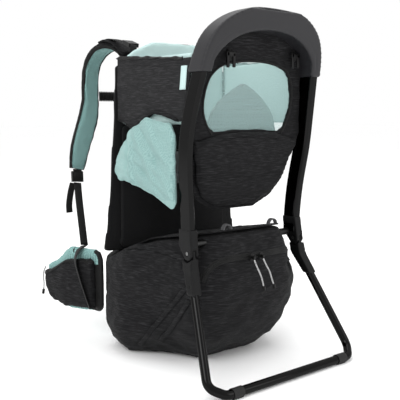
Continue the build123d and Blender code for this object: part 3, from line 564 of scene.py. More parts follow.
# %% Folds, seams and creases
def stroke(obj, start, end, width, height):
    """Raise or sink the skin along a line; height is negative for a seam."""
    places, outward = points_of(obj), normals_of(obj)
    start, end = np.array(start, float), np.array(end, float)
    way = end - start
    along = np.clip(((places - start) @ way) / (way @ way), 0, 1)
    away = np.linalg.norm(places - (start + along[:, None] * way), axis=1)
    fade = np.exp(-(away / width) ** 2) * (0.35 + 0.65 * np.sin(pi * np.clip(along, 0.02, 0.98)))
    move_points(obj, places + outward * (fade * height)[:, None])


def strokes(obj, width, height, *routes):
    for route in routes:
        for start, end in zip(route, route[1:]):
            stroke(obj, start, end, width, height)


def creases(obj, amount, size, stretch=(1, 1, 1), seed=0):
    """Soft uneven creases of about the given size."""
    places, outward = points_of(obj), normals_of(obj)
    scaled = places * np.array(stretch) / size + seed * 7.3
    lift = np.empty(len(places))
    for index, place in enumerate(scaled):
        here = Vector(place)
        ridge = 1 - abs(noise.noise(here)) * 2
        lift[index] = (ridge - 0.55) + 0.4 * noise.noise(here * 2.7)
    move_points(obj, places + outward * (lift * amount)[:, None])


# %% [markdown]
# Trim follows the finished skin. A route is a short list of given points; it is drawn through
# them as a smooth line and dropped on the nearest cloth. Piping is a thin tube there, tape is a flat
# band, and stitches are short loops of thread with gaps between.

# %% Trim that lies on cloth
def flowing(route, spacing):
    """Points at an even spacing on a smooth line through the route."""
    knots = [np.array(p, float) for p in route]
    knots = [2 * knots[0] - knots[1]] + knots + [2 * knots[-1] - knots[-2]]
    dense = []
    for a, b, c, d in zip(knots, knots[1:], knots[2:], knots[3:]):
        count = max(4, int(np.linalg.norm(c - b) / spacing * 3))
        for t in np.linspace(0, 1, count, endpoint=False):
            bend, twist = 2 * a - 5 * b + 4 * c - d, 3 * b - a - 3 * c + d
            dense.append(0.5 * (2 * b + (c - a) * t + bend * t**2 + twist * t**3))
    dense.append(knots[-2])
    dense = np.array(dense)
    run = np.concatenate([[0], np.cumsum(np.linalg.norm(np.diff(dense, axis=0), axis=1))])
    count = max(2, int(run[-1] / spacing) + 1)
    want = np.linspace(0, run[-1], count)
    return np.stack([np.interp(want, run, dense[:, k]) for k in range(3)], 1)


def drop_on(target, route, spacing=0.004, lift=0.0):
    """A smooth line laid on a piece, with the cloth's normal at each point."""
    corners = [vertex.co for vertex in target.data.vertices]
    tree = BVHTree.FromPolygons(corners, [face.vertices[:] for face in target.data.polygons])
    line, outward = [], []
    for place in flowing(route, spacing):
        hit, normal, _, _ = tree.find_nearest(Vector(place))
        line.append(np.array(hit + normal * lift))
        outward.append(np.array(normal))
    outward = np.array(outward)
    for _ in range(3):
        outward[1:-1] = (outward[:-2] + outward[1:-1] + outward[2:]) / 3
    outward /= np.linalg.norm(outward, axis=1, keepdims=True)
    return np.array(line), outward


def frames_along(line, outward):
    way = np.gradient(line, axis=0)
    way /= np.linalg.norm(way, axis=1, keepdims=True)
    across = np.cross(way, outward)
    across /= np.linalg.norm(across, axis=1, keepdims=True)
    return way, across, np.cross(across, way)


def section_sweep(name, line, outward, section, finish):
    """Sweep a closed section (across, outward pairs) along a line, with flat ends."""
    _, across, up = frames_along(line, outward)
    sides = len(section)
    points, faces = [], []
    for place, a, u in zip(line, across, up):
        points += [place + a * s + u * h for s, h in section]
    rings = len(line)
    for r in range(rings - 1):
        for k in range(sides):
            n = (k + 1) % sides
            s = r + 1
            faces.append((r * sides + k, r * sides + n, s * sides + n, s * sides + k))
    faces.append(tuple(reversed(range(sides))))
    faces.append(tuple((rings - 1) * sides + k for k in range(sides)))
    return add_mesh(name, points, faces, finish)


def round_section(radius, sides=8):
    return [(radius * cos(2 * pi * k / sides), radius * sin(2 * pi * k / sides)) for k in range(sides)]


def band_section(width, thick):
    """A flat band with softly rounded edges, lying on the cloth."""
    h, r = width / 2, thick / 2
    return [(-h, r), (-h + r, thick), (0, thick * 1.08), (h - r, thick), (h, r), (h - r, 0), (-h + r, 0)]


def piping(name, target, route, radius, finish_slot, body, lift=0.0):
    line, outward = drop_on(target, route, max(radius * 1.6, 0.002), lift)
    obj = section_sweep(name, line, outward, round_section(radius), finishes[finish_slot])
    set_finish(obj, finish_slot)
    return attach(obj, body)


def tape(name, target, route, width, thick, finish_slot, body, lift=0.0003):
    line, outward = drop_on(target, route, 0.004, lift)
    obj = section_sweep(name, line, outward, band_section(width, thick), finishes[finish_slot])
    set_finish(obj, finish_slot)
    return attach(obj, body)


STITCH_PITCH, STITCH_LENGTH, THREAD_RADIUS = 0.0042, 0.0028, 0.00045


def stitches(name, target, routes, finish_slot, body):
    """Rows of short thread loops, all in one piece."""
    points, faces = [], []
    for route in routes:
        line, outward = drop_on(target, route, STITCH_PITCH, 0.0003)
        way, across, up = frames_along(line, outward)
        for place, w, a, u in zip(line, way, across, up):
            first = len(points)
            for step, swell in ((-0.5, 0.35), (-0.2, 1.0), (0.2, 1.0), (0.5, 0.35)):
                for s, h in round_section(THREAD_RADIUS * swell, 5):
                    points.append(place + w * step * STITCH_LENGTH + a * s + u * h)
            for ring in range(3):
                for k in range(5):
                    n = (k + 1) % 5
                    b = first + ring * 5
                    faces.append((b + k, b + n, b + 5 + n, b + 5 + k))
            faces.append(tuple(first + k for k in reversed(range(5))))
            faces.append(tuple(first + 15 + k for k in range(5)))
    obj = add_mesh(name, points, faces, finishes[finish_slot])
    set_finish(obj, finish_slot)
    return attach(obj, body)


print("helpers ready")

# %% [markdown]
# The lower bag is one soft body over foam-lined cloth. Its rings follow the facets of the kept
# solid, the sloping top closes them, and the whole skin is then remade evenly before padding.

# %% Lower bag
# level, side half width, half width at the rear corner, corner y, rear y, front y (millimetres)
BAG_RINGS = [(0, 168, 96, -98, -112, 110), (60, 184, 130, -144, -176, 122),
             (180, 192, 150, -172, -218, 124), (216, 188, 136, -166, -216, 124),
             (251, 180, 128, -164, -214, 122), (300, 158, 124, -150, -188, 122)]
FOOT_LEVEL, ZIP_LEVEL, TOP_LEVEL = 60, 251, 300


def bag_top(y):
    return np.interp(y, [-188, -15, 124], [300, 268, 212])


def bag_ring(level):
    """Right half of a ring, from the rear middle round to the front middle."""
    levels, *columns = zip(*BAG_RINGS)
    half, corner, corner_y, rear_y, front_y = [np.interp(level, levels, column) for column in columns]
    corners = [(0, rear_y), (88, rear_y), (corner, corner_y), (half, 30), (half - 12, front_y), (0, front_y)]
    points = []
    for (x0, y0), (x1, y1), count in zip(corners, corners[1:], (8, 6, 14, 8, 12)):
        for t in np.linspace(0, 1, count, endpoint=False):
            points.append((x0 + (x1 - x0) * t, y0 + (y1 - y0) * t))
    return points + [corners[-1]]


def build_bag():
    points, faces = [], []
    levels = np.concatenate([np.linspace(0, FOOT_LEVEL, 7)[:-1], np.linspace(FOOT_LEVEL, ZIP_LEVEL, 16)[:-1],
                             np.linspace(ZIP_LEVEL, TOP_LEVEL, 5)])
    right = [bag_ring(level) for level in levels]
    count = len(right[0])
    around = 2 * count - 2
    for level, ring in zip(levels, right):
        whole = ring + [(-x, y) for x, y in reversed(ring[1:-1])]
        for x, y in whole:
            points.append((x * MM, y * MM, min(level, float(bag_top(y))) * MM))
    for r in range(len(levels) - 1):
        for k in range(around):
            n = (k + 1) % around
            faces.append((r * around + k, r * around + n, (r + 1) * around + n, (r + 1) * around + k))
    for base, flip in ((0, True), ((len(levels) - 1) * around, False)):
        for k in range(count - 1):
            quad = [base + k, base + k + 1, base + (around - k - 1) % around, base + (around - k) % around]
            quad = list(dict.fromkeys(quad))
            if len(quad) > 2:
                faces.append(tuple(reversed(quad)) if flip else tuple(quad))
    return add_mesh("lower_bag", points, faces, finishes["heather_cloth"])


def fill_out(places):
    """The loaded bag swells at its sides and low corners, and sags towards the front."""
    x, y, z = places.T.copy()
    fullness = np.clip(z / 0.05, 0, 1) * np.clip((0.29 - z) / 0.05, 0, 1)
    side = np.clip((np.abs(x) - 0.13) / 0.05, 0, 1)
    forward = np.clip((y + 0.09) / 0.10, 0, 1)
    x += np.sign(x) * 0.014 * fullness * side * forward
    corner = np.exp(-(((np.abs(x) - 0.150) / 0.035) ** 2 + ((y + 0.172) / 0.04) ** 2
                      + ((z - 0.112) / 0.038) ** 2))
    x += np.sign(x) * 0.009 * corner
    y -= 0.004 * corner
    low = np.clip((0.16 - z) / 0.14, 0, 1) * forward
    x *= 1 + 0.09 * low
    y += 0.010 * low * np.clip(y / 0.1, 0, 1)
    return np.stack([x, y, z], 1)


bag = build_bag()
remake = bag.modifiers.new("skin", "REMESH")
remake.mode = "VOXEL"
remake.voxel_size = 0.006
settle(bag)
soften(bag, 5)
move_points(bag, fill_out(points_of(bag)))
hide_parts("storage_bag", "bag_flap")
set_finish(bag, "heather_cloth")
plan_padding(bag, 0.002, 3.0, 0.006)
print("bag skin", len(bag.data.vertices))

# %% [markdown]
# Harness and belt pads are foam between two cloths. They get the most pressure, so they crown in the
# middle and draw in at the bound edges. The cockpit's side wings are thin pockets that barely fill.

# %% Padded pieces
PADS = [  # node, name, voxel, finish, inset, pressure, cap
    ("shoulder_pad_left", "shoulder_strap_left", 0.004, "heather_cloth", 0.0015, 5.0, 0.004),
    ("hip_pad_left", "belt_wing_left", 0.004, "aqua_foam", 0.001, 4.0, 0.003),
    ("hip_pocket_left", "belt_pocket_left", 0.0042, "heather_cloth", 0.0015, 4.0, 0.005),
    ("lumbar_pad", "lumbar_cushion", 0.005, "mesh_pad", 0.001, 4.0, 0.006),
    ("back_pad", "back_cushions", 0.0045, "mesh_pad", 0.001, 4.0, 0.005),
    ("yoke", "strap_yoke", 0.0042, "heather_cloth", 0.001, 4.0, 0.003),
    ("seat_wing_left", "side_wing_left", 0.004, "aqua_cloth", 0.0008, 3.0, 0.004),
    ("rear_pouch", "rear_pocket", 0.0042, "heather_cloth", 0.001, 3.0, 0.004),
    ("seat_saddle", "child_seat", 0.005, "seat_cloth", 0.001, 3.0, 0.004),
]
pad = {}
for node, name, voxel, finish, inset, pressure, cap in PADS:
    pad[name] = soften(skin_copy(node, name, voxel, finish), 3)
    plan_padding(pad[name], inset, pressure, cap)
blow_up_all()
for piece in (bag, *pad.values()):
    subdivide(soften(piece, 1, 0.4))
print("padded:", {name: len(piece.data.vertices) for name, piece in pad.items()})

# %% [markdown]
# Thin panels are stiffer: they only need an even skin, soft edges and shallow creases where the cloth
# hangs from the frame.

# %% Thin cloth panels
PANELS = [  # node, name, voxel, finish, turns of softening
    ("rear_panel", "rear_cloth", 0.0035, "heather_cloth", 2),
    ("side_panel_left", "side_cloth_left", 0.0032, "heather_cloth", 1),
    ("front_lining", "front_lining_cloth", 0.0042, "aqua_cloth", 3),
    ("front_wall", "front_wall_cloth", 0.0045, "smooth_cloth", 2),
    ("shroud_left", "front_shroud_left", 0.004, "smooth_cloth", 2),
    ("bag_lid", "bag_top_cloth", 0.0026, "heather_cloth", 1),
]
for node, name, voxel, finish, turns in PANELS:
    pad[name] = soften(skin_copy(node, name, voxel, finish), turns)
print("panels:", {name: len(pad[name].data.vertices) for _, name, *_ in PANELS})

# %% [markdown]
# Routes are given in millimetres, on the left. The right side uses the same list with x
# turned round. Many shapes below also need a share that rises from 0 to 1 over a stretch.

# %% Routes and shares
SIDES = (("left", 1), ("right", -1))


def mm(*route):
    """Points in metres from points in millimetres."""
    return [tuple(value * MM for value in point) for point in route]


def on_side(flip, *route):
    """A route for the left (flip 1) or turned round for the right (flip -1), in millimetres."""
    return [(x * flip, y, z) for x, y, z in route]


def rise(values, start, span):
    """0 up to start, then a steady rise to 1 over span."""
    return np.clip((values - start) / span, 0, 1)


def reshape(obj, change):
    move_points(obj, change(points_of(obj)))


print("share halfway up a rise:", float(rise(0.5, 0, 1)))

# %% [markdown]
# The cloth behind the child has a wide window whose edge is one soft curve. Points at the window's
# edge move out or in to meet that curve, and points further off move less. The cloth is then widened
# to fill the hoop, rises behind the cap, and its foot runs forward under the child.

# %% Rear cloth and its window
WINDOW_MIDDLE = 580
CUT_HALF = [(40, 650), (92, 630), (112, 580), (88, 509)]
WINDOW_CUT = CUT_HALF + [(-x, z) for x, z in reversed(CUT_HALF)]
ROUND_HALF = [(86, 506), (96, 524), (107, 552), (112, 586), (103, 617), (80, 639), (42, 650)]
WINDOW_ROUND = [(-x, z) for x, z in ROUND_HALF] + [(0, 653)] + ROUND_HALF[::-1]
PANEL_LEAN = 0.2547      # how far the upper cloth leans back as it rises


def ring_reach(outline):
    """Reach of a closed outline from the window's middle, by angle."""
    line = np.array(outline, float)
    steps = np.linspace(0, 1, 40, endpoint=False)[:, None]
    dense = [here + steps * (ahead - here) for here, ahead in zip(line, np.roll(line, -1, axis=0))]
    x, z = np.concatenate(dense).T
    angle = np.arctan2(z - WINDOW_MIDDLE, x)
    order = np.argsort(angle)
    return angle[order], np.hypot(x, z - WINDOW_MIDDLE)[order]


def round_window(places):
    """The window's edge follows the soft curve."""
    moved = np.array(places, float)
    x, z = moved[:, 0], moved[:, 2] - WINDOW_MIDDLE * MM
    angle, reach = np.arctan2(z, x), np.hypot(x, z)
    soft_edge = flowing(mm(*[(px, 0, pz) for px, pz in WINDOW_ROUND]), 0.003)[:, [0, 2]] / MM
    cut, wanted = (np.interp(angle, *ring_reach(ring), period=2 * pi) * MM
                   for ring in (WINDOW_CUT, soft_edge))
    share = np.clip(1 - np.abs(reach - cut) / 0.04, 0, 1)
    stretch = 1 + (wanted - cut) * share / np.maximum(reach, 0.02)
    moved[:, 0], moved[:, 2] = x * stretch, WINDOW_MIDDLE * MM + z * stretch
    return moved


def rear_width(z):
    """How many times wider the rear cloth is than the kept solid, at a height."""
    return 1 + 0.05 * rise(z, 0.50, 0.06) + 0.09 * rise(z, 0.605, 0.05) + 0.12 * rise(-z, -0.60, 0.08)


def panel_grow(places):
    """Wider everywhere, and higher behind the cap."""
    grown = np.array(places, float)
    grown[:, 0] *= rear_width(grown[:, 2])
    lift = 0.014 * rise(grown[:, 2], 0.655, 0.04)
    grown[:, 2] += lift
    grown[:, 1] -= PANEL_LEAN * lift
    return grown


def foot_tuck(places):
    """Below the hem the cloth widens and runs forward, under the child."""
    tucked = np.array(places, float)
    share = np.clip((0.50 - tucked[:, 2]) / 0.09, 0, 1.7)
    tucked[:, 0] *= 1 + 0.15 * np.minimum(share, 1)
    tucked[:, 1] += 0.025 * share
    return tucked


reshape(pad["rear_cloth"], lambda places: foot_tuck(panel_grow(round_window(places))))
creases(pad["rear_cloth"], 0.0007, 0.08, (1, 1, 1), 7)
print("window edge of", len(WINDOW_ROUND), "points")

# %% [markdown]
# The pocket below the window hangs from a hem that drops towards its ends. One seam runs just under
# the hem and one crosses the foot, and soft folds lie between them.

# %% Pocket below the window
def hem_drop(places):
    places[:, 2] -= 0.015 * (places[:, 0] / 0.138) ** 2 * rise(places[:, 2], 0.44, 0.05)
    return places


pocket = pad["rear_pocket"]
reshape(pocket, lambda places: foot_tuck(panel_grow(hem_drop(places))))
strokes(pocket, 0.0045, -0.0022,
        mm((-134, -182, 473), (-70, -182, 485), (0, -182, 489), (70, -182, 485), (134, -182, 473)))
strokes(pocket, 0.0035, -0.0018, mm((-116, -157, 411), (0, -157, 408), (116, -157, 411)))
strokes(pocket, 0.012, 0.0018, mm((-90, -182, 468), (-20, -182, 452), (50, -182, 463)),
        mm((-70, -150, 390), (10, -148, 380), (64, -150, 388)),
        mm((-100, -166, 440), (-40, -164, 432), (30, -166, 440)))
creases(pocket, 0.0012, 0.05, (1, 1, 1.6), 1)
print("pocket skin", len(pocket.data.vertices))

# %% [markdown]
# The heathered side cloth reaches back to the hoop, further at its top. The aqua wing below it is an
# empty pocket of thin cloth: it sags from its front corner in long folds, and its rear part is open
# mesh.

# %% Side cloth and side wing
def reach_back(places):
    reach = np.interp(places[:, 2], [0.52, 0.56, 0.60, 0.66], [0.012, 0.016, 0.022, 0.033])
    places[:, 1] -= reach * rise(-places[:, 1], 0.09, 0.05)
    return places


def wing_fit(places):
    """A little larger about its middle, and clear of the hoop behind."""
    middle = np.array([-0.03, 0.45])
    places[:, 1:] = middle + (places[:, 1:] - middle) * np.array([1.02, 1.04])
    places[:, 1] = np.maximum(places[:, 1], -0.147)
    return places


reshape(pad["side_cloth_left"], reach_back)
creases(pad["side_cloth_left"], 0.0009, 0.07, (1, 1, 0.7), 3)
pad["side_cloth_left"].data.materials[0] = finishes["heather_light"]
wing = pad["side_wing_left"]
strokes(wing, 0.006, -0.0035, mm((-174, 52, 497), (-174, 20, 470), (-174, -30, 455), (-174, -100, 452)))
strokes(wing, 0.008, 0.003, mm((-174, 60, 470), (-174, 12, 446), (-174, -60, 436)),
        mm((-174, 74, 428), (-174, 20, 420), (-174, -70, 404), (-174, -130, 380)),
        mm((-174, -20, 525), (-174, -60, 490), (-174, -128, 470)))
strokes(wing, 0.005, -0.0025, mm((-174, 66, 450), (-174, 10, 430), (-174, -80, 418)),
        mm((-174, 40, 404), (-174, -40, 392), (-174, -120, 366)))
creases(wing, 0.0016, 0.045, (1, 1, 1.4), 2)
strokes(wing, 0.005, -0.005, mm((-176, 40, 512), (-177, 30, 470), (-177, 34, 430), (-176, 26, 392)))
strokes(wing, 0.009, 0.005, mm((-176, 24, 514), (-177, 14, 470), (-177, 18, 428), (-176, 8, 392)),
        mm((-176, 10, 512), (-177, -40, 460), (-177, -70, 404)),
        mm((-176, -40, 534), (-177, -90, 470), (-177, -130, 440)),
        mm((-176, -10, 470), (-177, -70, 440), (-177, -120, 400), (-176, -140, 372)))
strokes(wing, 0.006, -0.004, mm((-176, -14, 520), (-177, -62, 470), (-177, -100, 410)),
        mm((-176, 4, 440), (-177, -50, 412), (-177, -110, 376)))
wing.data.materials.append(finishes["aqua_open"])
for face in wing.data.polygons:
    mesh_front = 0.030 - 0.02 * sin(12 * (face.center.z - 0.4))
    if face.center.y < mesh_front and face.center.z > 0.37:
        face.material_index = 1
reshape(wing, wing_fit)
print("wing faces of open mesh:", sum(face.material_index for face in wing.data.polygons))

# %% [markdown]
# The lower bag is cut from several panels. A seam runs back along each side and down round the rear
# corner, and two bands brace the corner. The loaded cloth folds beside them. Here each seam is sunk
# on both of its sides, and a raised band is laid between them further down.

# %% Seams and folds of the lower bag
BAG_SEAMS = {
    "bag_top_seam": [(-176, 60, 240), (-177, -10, 262), (-168, -70, 258), (-150, -125, 246),
                     (-146, -148, 226), (-147, -160, 206)],
    "bag_upper_band": [(-153, -158, 188), (-168, -96, 120), (-176, -8, 26)],
    "bag_lower_band": [(-152, -162, 160), (-160, -120, 104), (-160, -62, 38)],
}
SIDE_FOLDS = [[(-160, -140, 146), (-170, -92, 96), (-170, -50, 60)], [(-186, -30, 190), (-190, 50, 150)],
              [(-186, -60, 226), (-188, 20, 216)]]


def seam_edges(name, gap):
    """The line of a seam moved by gap: the top seam up, the two bands back."""
    if name == "bag_top_seam":
        return [(x, y, z + gap) for x, y, z in BAG_SEAMS[name]]
    return [(x, y + gap, z) for x, y, z in BAG_SEAMS[name]]


creases(bag, 0.0032, 0.065, (1, 1, 1.3), 8)
for _, flip in SIDES:
    for gap in (-7, 7):
        for name in BAG_SEAMS:
            strokes(bag, 0.005, -0.0035, mm(*on_side(flip, *seam_edges(name, gap))))
    strokes(bag, 0.010, 0.0035, *[mm(*on_side(flip, *fold)) for fold in SIDE_FOLDS])
strokes(bag, 0.004, -0.0018, mm((-96, -214, 218), (0, -220, 216), (96, -214, 218)))
strokes(bag, 0.014, 0.003, mm((-60, -205, 180), (10, -205, 150), (70, -200, 120)),
        mm((60, -200, 200), (110, -190, 150)), mm((-120, -195, 200), (-90, -205, 150)),
        mm((-80, -205, 110), (20, -200, 92)))
bag_points = points_of(bag)
bag_points[:, 2] = np.maximum(bag_points[:, 2], 0.0004)
move_points(bag, bag_points)
print("bag stands at", round(float(bag_points[:, 2].min()), 4))

# %% [markdown]
# The other cloths get creases to suit their size: broad ones on the front wall and the shrouds, fine
# ones on the padded straps. The shroud flares towards its foot, and the belt wing's top edge rises.

# %% Front cloths, belt and straps
def shroud_flare(places):
    spread = rise(-places[:, 2], -0.54, 0.31)
    places[:, 0] = -0.130 + (places[:, 0] + 0.130) * (1 + 0.42 * spread)
    return places


def belt_rise(places):
    places[:, 2] += 0.010 * rise(places[:, 2], 0.17, 0.03) * rise(places[:, 1], 0.13, 0.02)
    return places


CREASED = [  # piece, height, size, stretch, seed
    ("front_lining_cloth", 0.0014, 0.05, (1, 1, 1), 4),
    ("front_wall_cloth", 0.0014, 0.07, (1, 1, 0.7), 5),
    ("front_shroud_left", 0.0016, 0.06, (1, 1, 0.5), 6),
    ("bag_top_cloth", 0.0010, 0.07, (1, 1, 1), 9),
    ("shoulder_strap_left", 0.0008, 0.035, (1, 1, 1), 10),
    ("belt_pocket_left", 0.0012, 0.04, (1, 1, 1), 11),
    ("child_seat", 0.001, 0.05, (1, 1, 1), 12),
]
for name, *look in CREASED:
    creases(pad[name], *look)
strokes(pad["lumbar_cushion"], 0.006, -0.005, mm((-60, 153, 120), (-60, 153, 320)),
        mm((60, 153, 120), (60, 153, 320)))
reshape(pad["front_shroud_left"], shroud_flare)
reshape(pad["belt_wing_left"], belt_rise)
# the front lining takes the brighter aqua copy: painted light on cloth in shade
pad["front_lining_cloth"].data.materials[0] = finishes["aqua_painted_light"]
print("creased", len(CREASED), "cloths")

# %% [markdown]
# The right side's soft pieces are mirrored from the left. The right side wing hangs shorter, so that
# it stays behind the rear cloth. Then each piece is put on the body that carries it.

# %% The right side, and what carries each piece
TWINS = {"shoulder_strap": "shoulder_pad", "belt_wing": "hip_pad", "belt_pocket": "hip_pocket",
         "side_wing": "seat_wing", "side_cloth": "side_panel", "front_shroud": "shroud"}
for name, node in TWINS.items():
    pad[name + "_right"] = opposite(pad[name + "_left"], name + "_right", node + "_right")


def shorter(places):
    front = 0.094
    places[:, 1] = front - (front - places[:, 1]) * 0.64
    return places


reshape(pad["side_wing_right"], shorter)
BODY_OF = {"shoulder_strap": "harness", "strap_yoke": "harness", "child_seat": "seat"}
for name, piece in pad.items():
    body = next((b for key, b in BODY_OF.items() if name.startswith(key)), "frame")
    if name.startswith("belt_"):
        body = "wing_left" if name.endswith("left") else "wing_right"
    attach(piece, body)
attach(bag, "frame")

# %% [markdown]
# The grab cap is a smooth moulded crescent over the top of the hoop, a little fuller than the kept
# solid, with one shallow crease along it.

# %% Grab cap
def fuller_crown(places):
    places[:, 2] += 0.007 * rise(places[:, 2], 0.66, 0.08)
    return places


cap = soften(skin_copy("hoop_cap", "grab_cap", 0.0022, "grey_cap"), 9)
move_points(cap, points_of(cap) + normals_of(cap) * 0.002)
reshape(cap, fuller_crown)
CAP_CREASE = [(150, -228, 640), (139, -238, 672), (110, -246, 699), (60, -252, 717), (0, -254, 722)]
for flip in (-1, 1):
    strokes(cap, 0.0022, -0.0011, mm(*on_side(flip, *CAP_CREASE)))
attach(cap, "frame")
print("cap skin", len(cap.data.vertices))

# %% [markdown]
# Hard parts keep their exact shape, with small rounded edges from a Bevel modifier. Only the hinge
# shells are reshaped: they are slim mouldings, drawn in towards the line of the tube they hold.

# %% Rounded edges and hinge shells
ROUNDED = {"ladder_locks": 1.6, "lifter_buckles": 1.6, "sternum_buckle": 1.4, "torso_track": 1.2,
           "zip_slider_left": 0.6, "zip_slider_right": 0.6, "stand_pad_left": 0.8, "stand_pad_right": 0.8,
           "lid_loops": 0.8}
for node, width in ROUNDED.items():
    edge = frame["nodes"][node].modifiers.new("rounded", "BEVEL")
    edge.width = width * MM
    edge.segments = 3
    edge.limit_method = "ANGLE"
    edge.angle_limit = radians(35)
frame["nodes"]["lid_loops"].data.materials[0] = finishes["seat_cloth"]

TUBE_LEVELS, TUBE_X = (181, 222, 262, 300, 312), (169, 158, 154, 152, 151.5)


def slim(places):
    """Draw the shell in towards the middle of the left tube."""
    middle_x = -np.interp(places[:, 2] / MM, TUBE_LEVELS, TUBE_X) * MM
    places[:, 0] = middle_x + (places[:, 0] - middle_x) * 0.88
    return places


for node, name, body in (("hinge_cover", "hinge_shell", "frame"), ("stand_knuckle", "leg_shell", "stand")):
    shell = soften(skin_copy(node + "_left", name + "_left", 0.0019, "grey_plastic"), 4)
    reshape(shell, slim)
    twin = opposite(shell, name + "_right", node + "_right")
    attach(shell, body)
    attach(twin, body)
print("rounded", len(ROUNDED), "hard parts")

# %% [markdown]
# The window is one layer of netting held taut by the cloth's edge, sagging a little towards the
# child. The seat's padded back is seen through it, and rides up and down with the seat. Both are
# grids of points, placed by a small function of the two ways across the sheet.

# %% Window netting and seat back
PANEL_FACE = [(338, -172), (540, -172), (618, -185), (724, -212)]


def panel_face(z):
    """The y of the rear cloth's face at a height, in millimetres."""
    levels, depths = zip(*PANEL_FACE)
    return np.interp(z, levels, depths)


def grid_sheet(name, columns, rows, place, finish, thick=0.0):
    points = [place(u, v) for v in np.linspace(0, 1, rows) for u in np.linspace(0, 1, columns)]
    faces = [(r * columns + k, r * columns + k + 1, (r + 1) * columns + k + 1, (r + 1) * columns + k)
             for r in range(rows - 1) for k in range(columns - 1)]
    sheet = add_mesh(name, points, faces, finish)
    if thick:
        sheet.modifiers.new("thick", "SOLIDIFY").thickness = thick
        settle(sheet)
    return sheet


def window_place(u, v):
    z = 506 + 150 * v
    half = np.interp(z, [506, 540, 580, 630, 656], [92, 104, 116, 98, 62])
    x = (2 * u - 1) * half * float(rear_width(z * MM))
    sag = 5 * (1 - (2 * u - 1) ** 2) * (1 - (2 * v - 1) ** 2)
    return x * MM, (float(panel_face(z)) + 3.5 + sag) * MM, z * MM


def seat_back_place(u, v):
    z = 430 + 182 * v
    half = np.interp(z, [430, 505, 545, 575, 596, 612], [104, 102, 92, 66, 38, 8])
    bow = 5 * (1 - (2 * u - 1) ** 2)
    return (34 + (2 * u - 1) * half) * MM, (-118 - bow) * MM, z * MM


netting = grid_sheet("window_netting", 48, 36, window_place, finishes["aqua_mesh"])
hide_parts("window_mesh")
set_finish(netting, "aqua_mesh")
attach(netting, "frame")
seat_back = grid_sheet("child_seat_back", 28, 28, seat_back_place, finishes["seat_net"], 0.007)
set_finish(seat_back, "seat_cloth")
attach(seat_back, "seat")
print("netting and seat back hung")

# %% [markdown]
# A narrow binding covers the window's cut edge, and the pocket has a hem along its mouth with rows of
# stitching. Both are trim that is dropped on the finished cloth.

# %% Window binding and pocket hem
window_rim = mm(*[(x * 1.03, panel_face(z), WINDOW_MIDDLE + (z - WINDOW_MIDDLE) * 1.03)
                  for x, z in WINDOW_ROUND])
rim_route = [tuple(place) for place in panel_grow(window_rim)]
tape("window_binding", pad["rear_cloth"], rim_route, 0.005, 0.0012, "webbing", "frame")
HEM = [(-149, -182, 486), (-78, -182, 500), (0, -182, 504), (78, -182, 500), (149, -182, 486)]
tape("pocket_hem", pocket, mm(*HEM), 0.012, 0.0011, "heather_cloth", "frame")
hem_row = [(-149, -182, 479), (-78, -182, 492), (0, -182, 496), (78, -182, 492), (149, -182, 479)]
foot_row = [(-118, -157, 416), (0, -157, 413), (118, -157, 416)]
stitches("pocket_stitches", pocket, [mm(*hem_row), mm(*foot_row)], "heather_cloth", "frame")
print("window bound, pocket hemmed")

# %% [markdown]
# The inner face of each shoulder strap is spacer foam, the outer face is the dark cloth, and a woven
# tape binds the edge between them.

# %% Shoulder straps
STRAP = mm((-62, 172, 640), (-68, 184, 688), (-84, 222, 713), (-103, 268, 704), (-114, 296, 664),
           (-118, 302, 618), (-121, 299, 572), (-131, 294, 532), (-147, 290, 488), (-160, 287, 444),
           (-168, 284, 404))
STRAP_TURN = [0, 0, 4, 10, 16, 16, 12, 6, 3, 3, 3]      # degrees at each point of the strap
STRAP_HALF, STRAP_BACK = 0.0292, 0.0045


def strap_frames():
    """Smooth centre line with its across and inward directions."""
    line = flowing(STRAP, 0.006)
    knots = np.array(STRAP)
    nearest = [int(np.argmin(np.linalg.norm(knots - place, axis=1))) for place in line]
    turn = np.radians([STRAP_TURN[knot] for knot in nearest])
    way = np.gradient(line, axis=0)
    way /= np.linalg.norm(way, axis=1, keepdims=True)
    across = np.stack([np.cos(turn), np.sin(turn), np.zeros_like(turn)], 1)
    across -= way * (across * way).sum(1, keepdims=True)
    across /= np.linalg.norm(across, axis=1, keepdims=True)
    return line, across, np.cross(way, across)


strap_line, strap_across, strap_inward = strap_frames()


def two_faced(strap, flip):
    """Give the faces that look at the wearer the foam finish."""
    strap.data.materials.append(finishes["aqua_foam"])
    line = strap_line * np.array([flip, 1, 1])
    inward = strap_inward * np.array([flip, 1, 1])
    for face in strap.data.polygons:
        nearest = int(np.argmin(((line - np.array(face.center)) ** 2).sum(1)))
        if np.dot(inward[nearest], np.array(face.normal)) > 0.55:
            face.material_index = 1


taper = np.interp(np.linspace(0, 10, len(strap_line)), [0, 7, 8, 9, 10], [1, 1, 1, 0.9, 0.72])
for side, flip in SIDES:
    strap = pad["shoulder_strap_" + side]
    two_faced(strap, flip)
    for label, way in (("outer", -1), ("inner", 1)):
        aside = strap_across * (way * STRAP_HALF * taper)[:, None]
        edge_line = strap_line + aside + strap_inward * STRAP_BACK
        route = [tuple(place * np.array([flip, 1, 1])) for place in edge_line[::6]]
        tape(f"strap_binding_{label}_{side}", strap, route, 0.009, 0.0014, "webbing", "harness")
print("straps bound")

# %% [markdown]
# Webbing is flat and stiff across its width. Each run is drawn through its buckles by given
# points and keeps one direction across. The run from the strap to the belt bends between the two, so
# it is put on no body; its placement is baked into its mesh.

# %% Webbing
ACROSS_X = (1, 0, 0)


def webbing_run(name, route, across, width, body, thick=0.0018, finish_slot="webbing"):
    line = flowing(mm(*route), 0.006)
    outward = np.cross(np.array(across, float), np.gradient(line, axis=0))
    outward /= np.linalg.norm(outward, axis=1, keepdims=True)
    run = section_sweep(name, line, outward, band_section(width * MM, thick), finishes[finish_slot])
    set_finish(run, finish_slot)
    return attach(run, body) if body else run


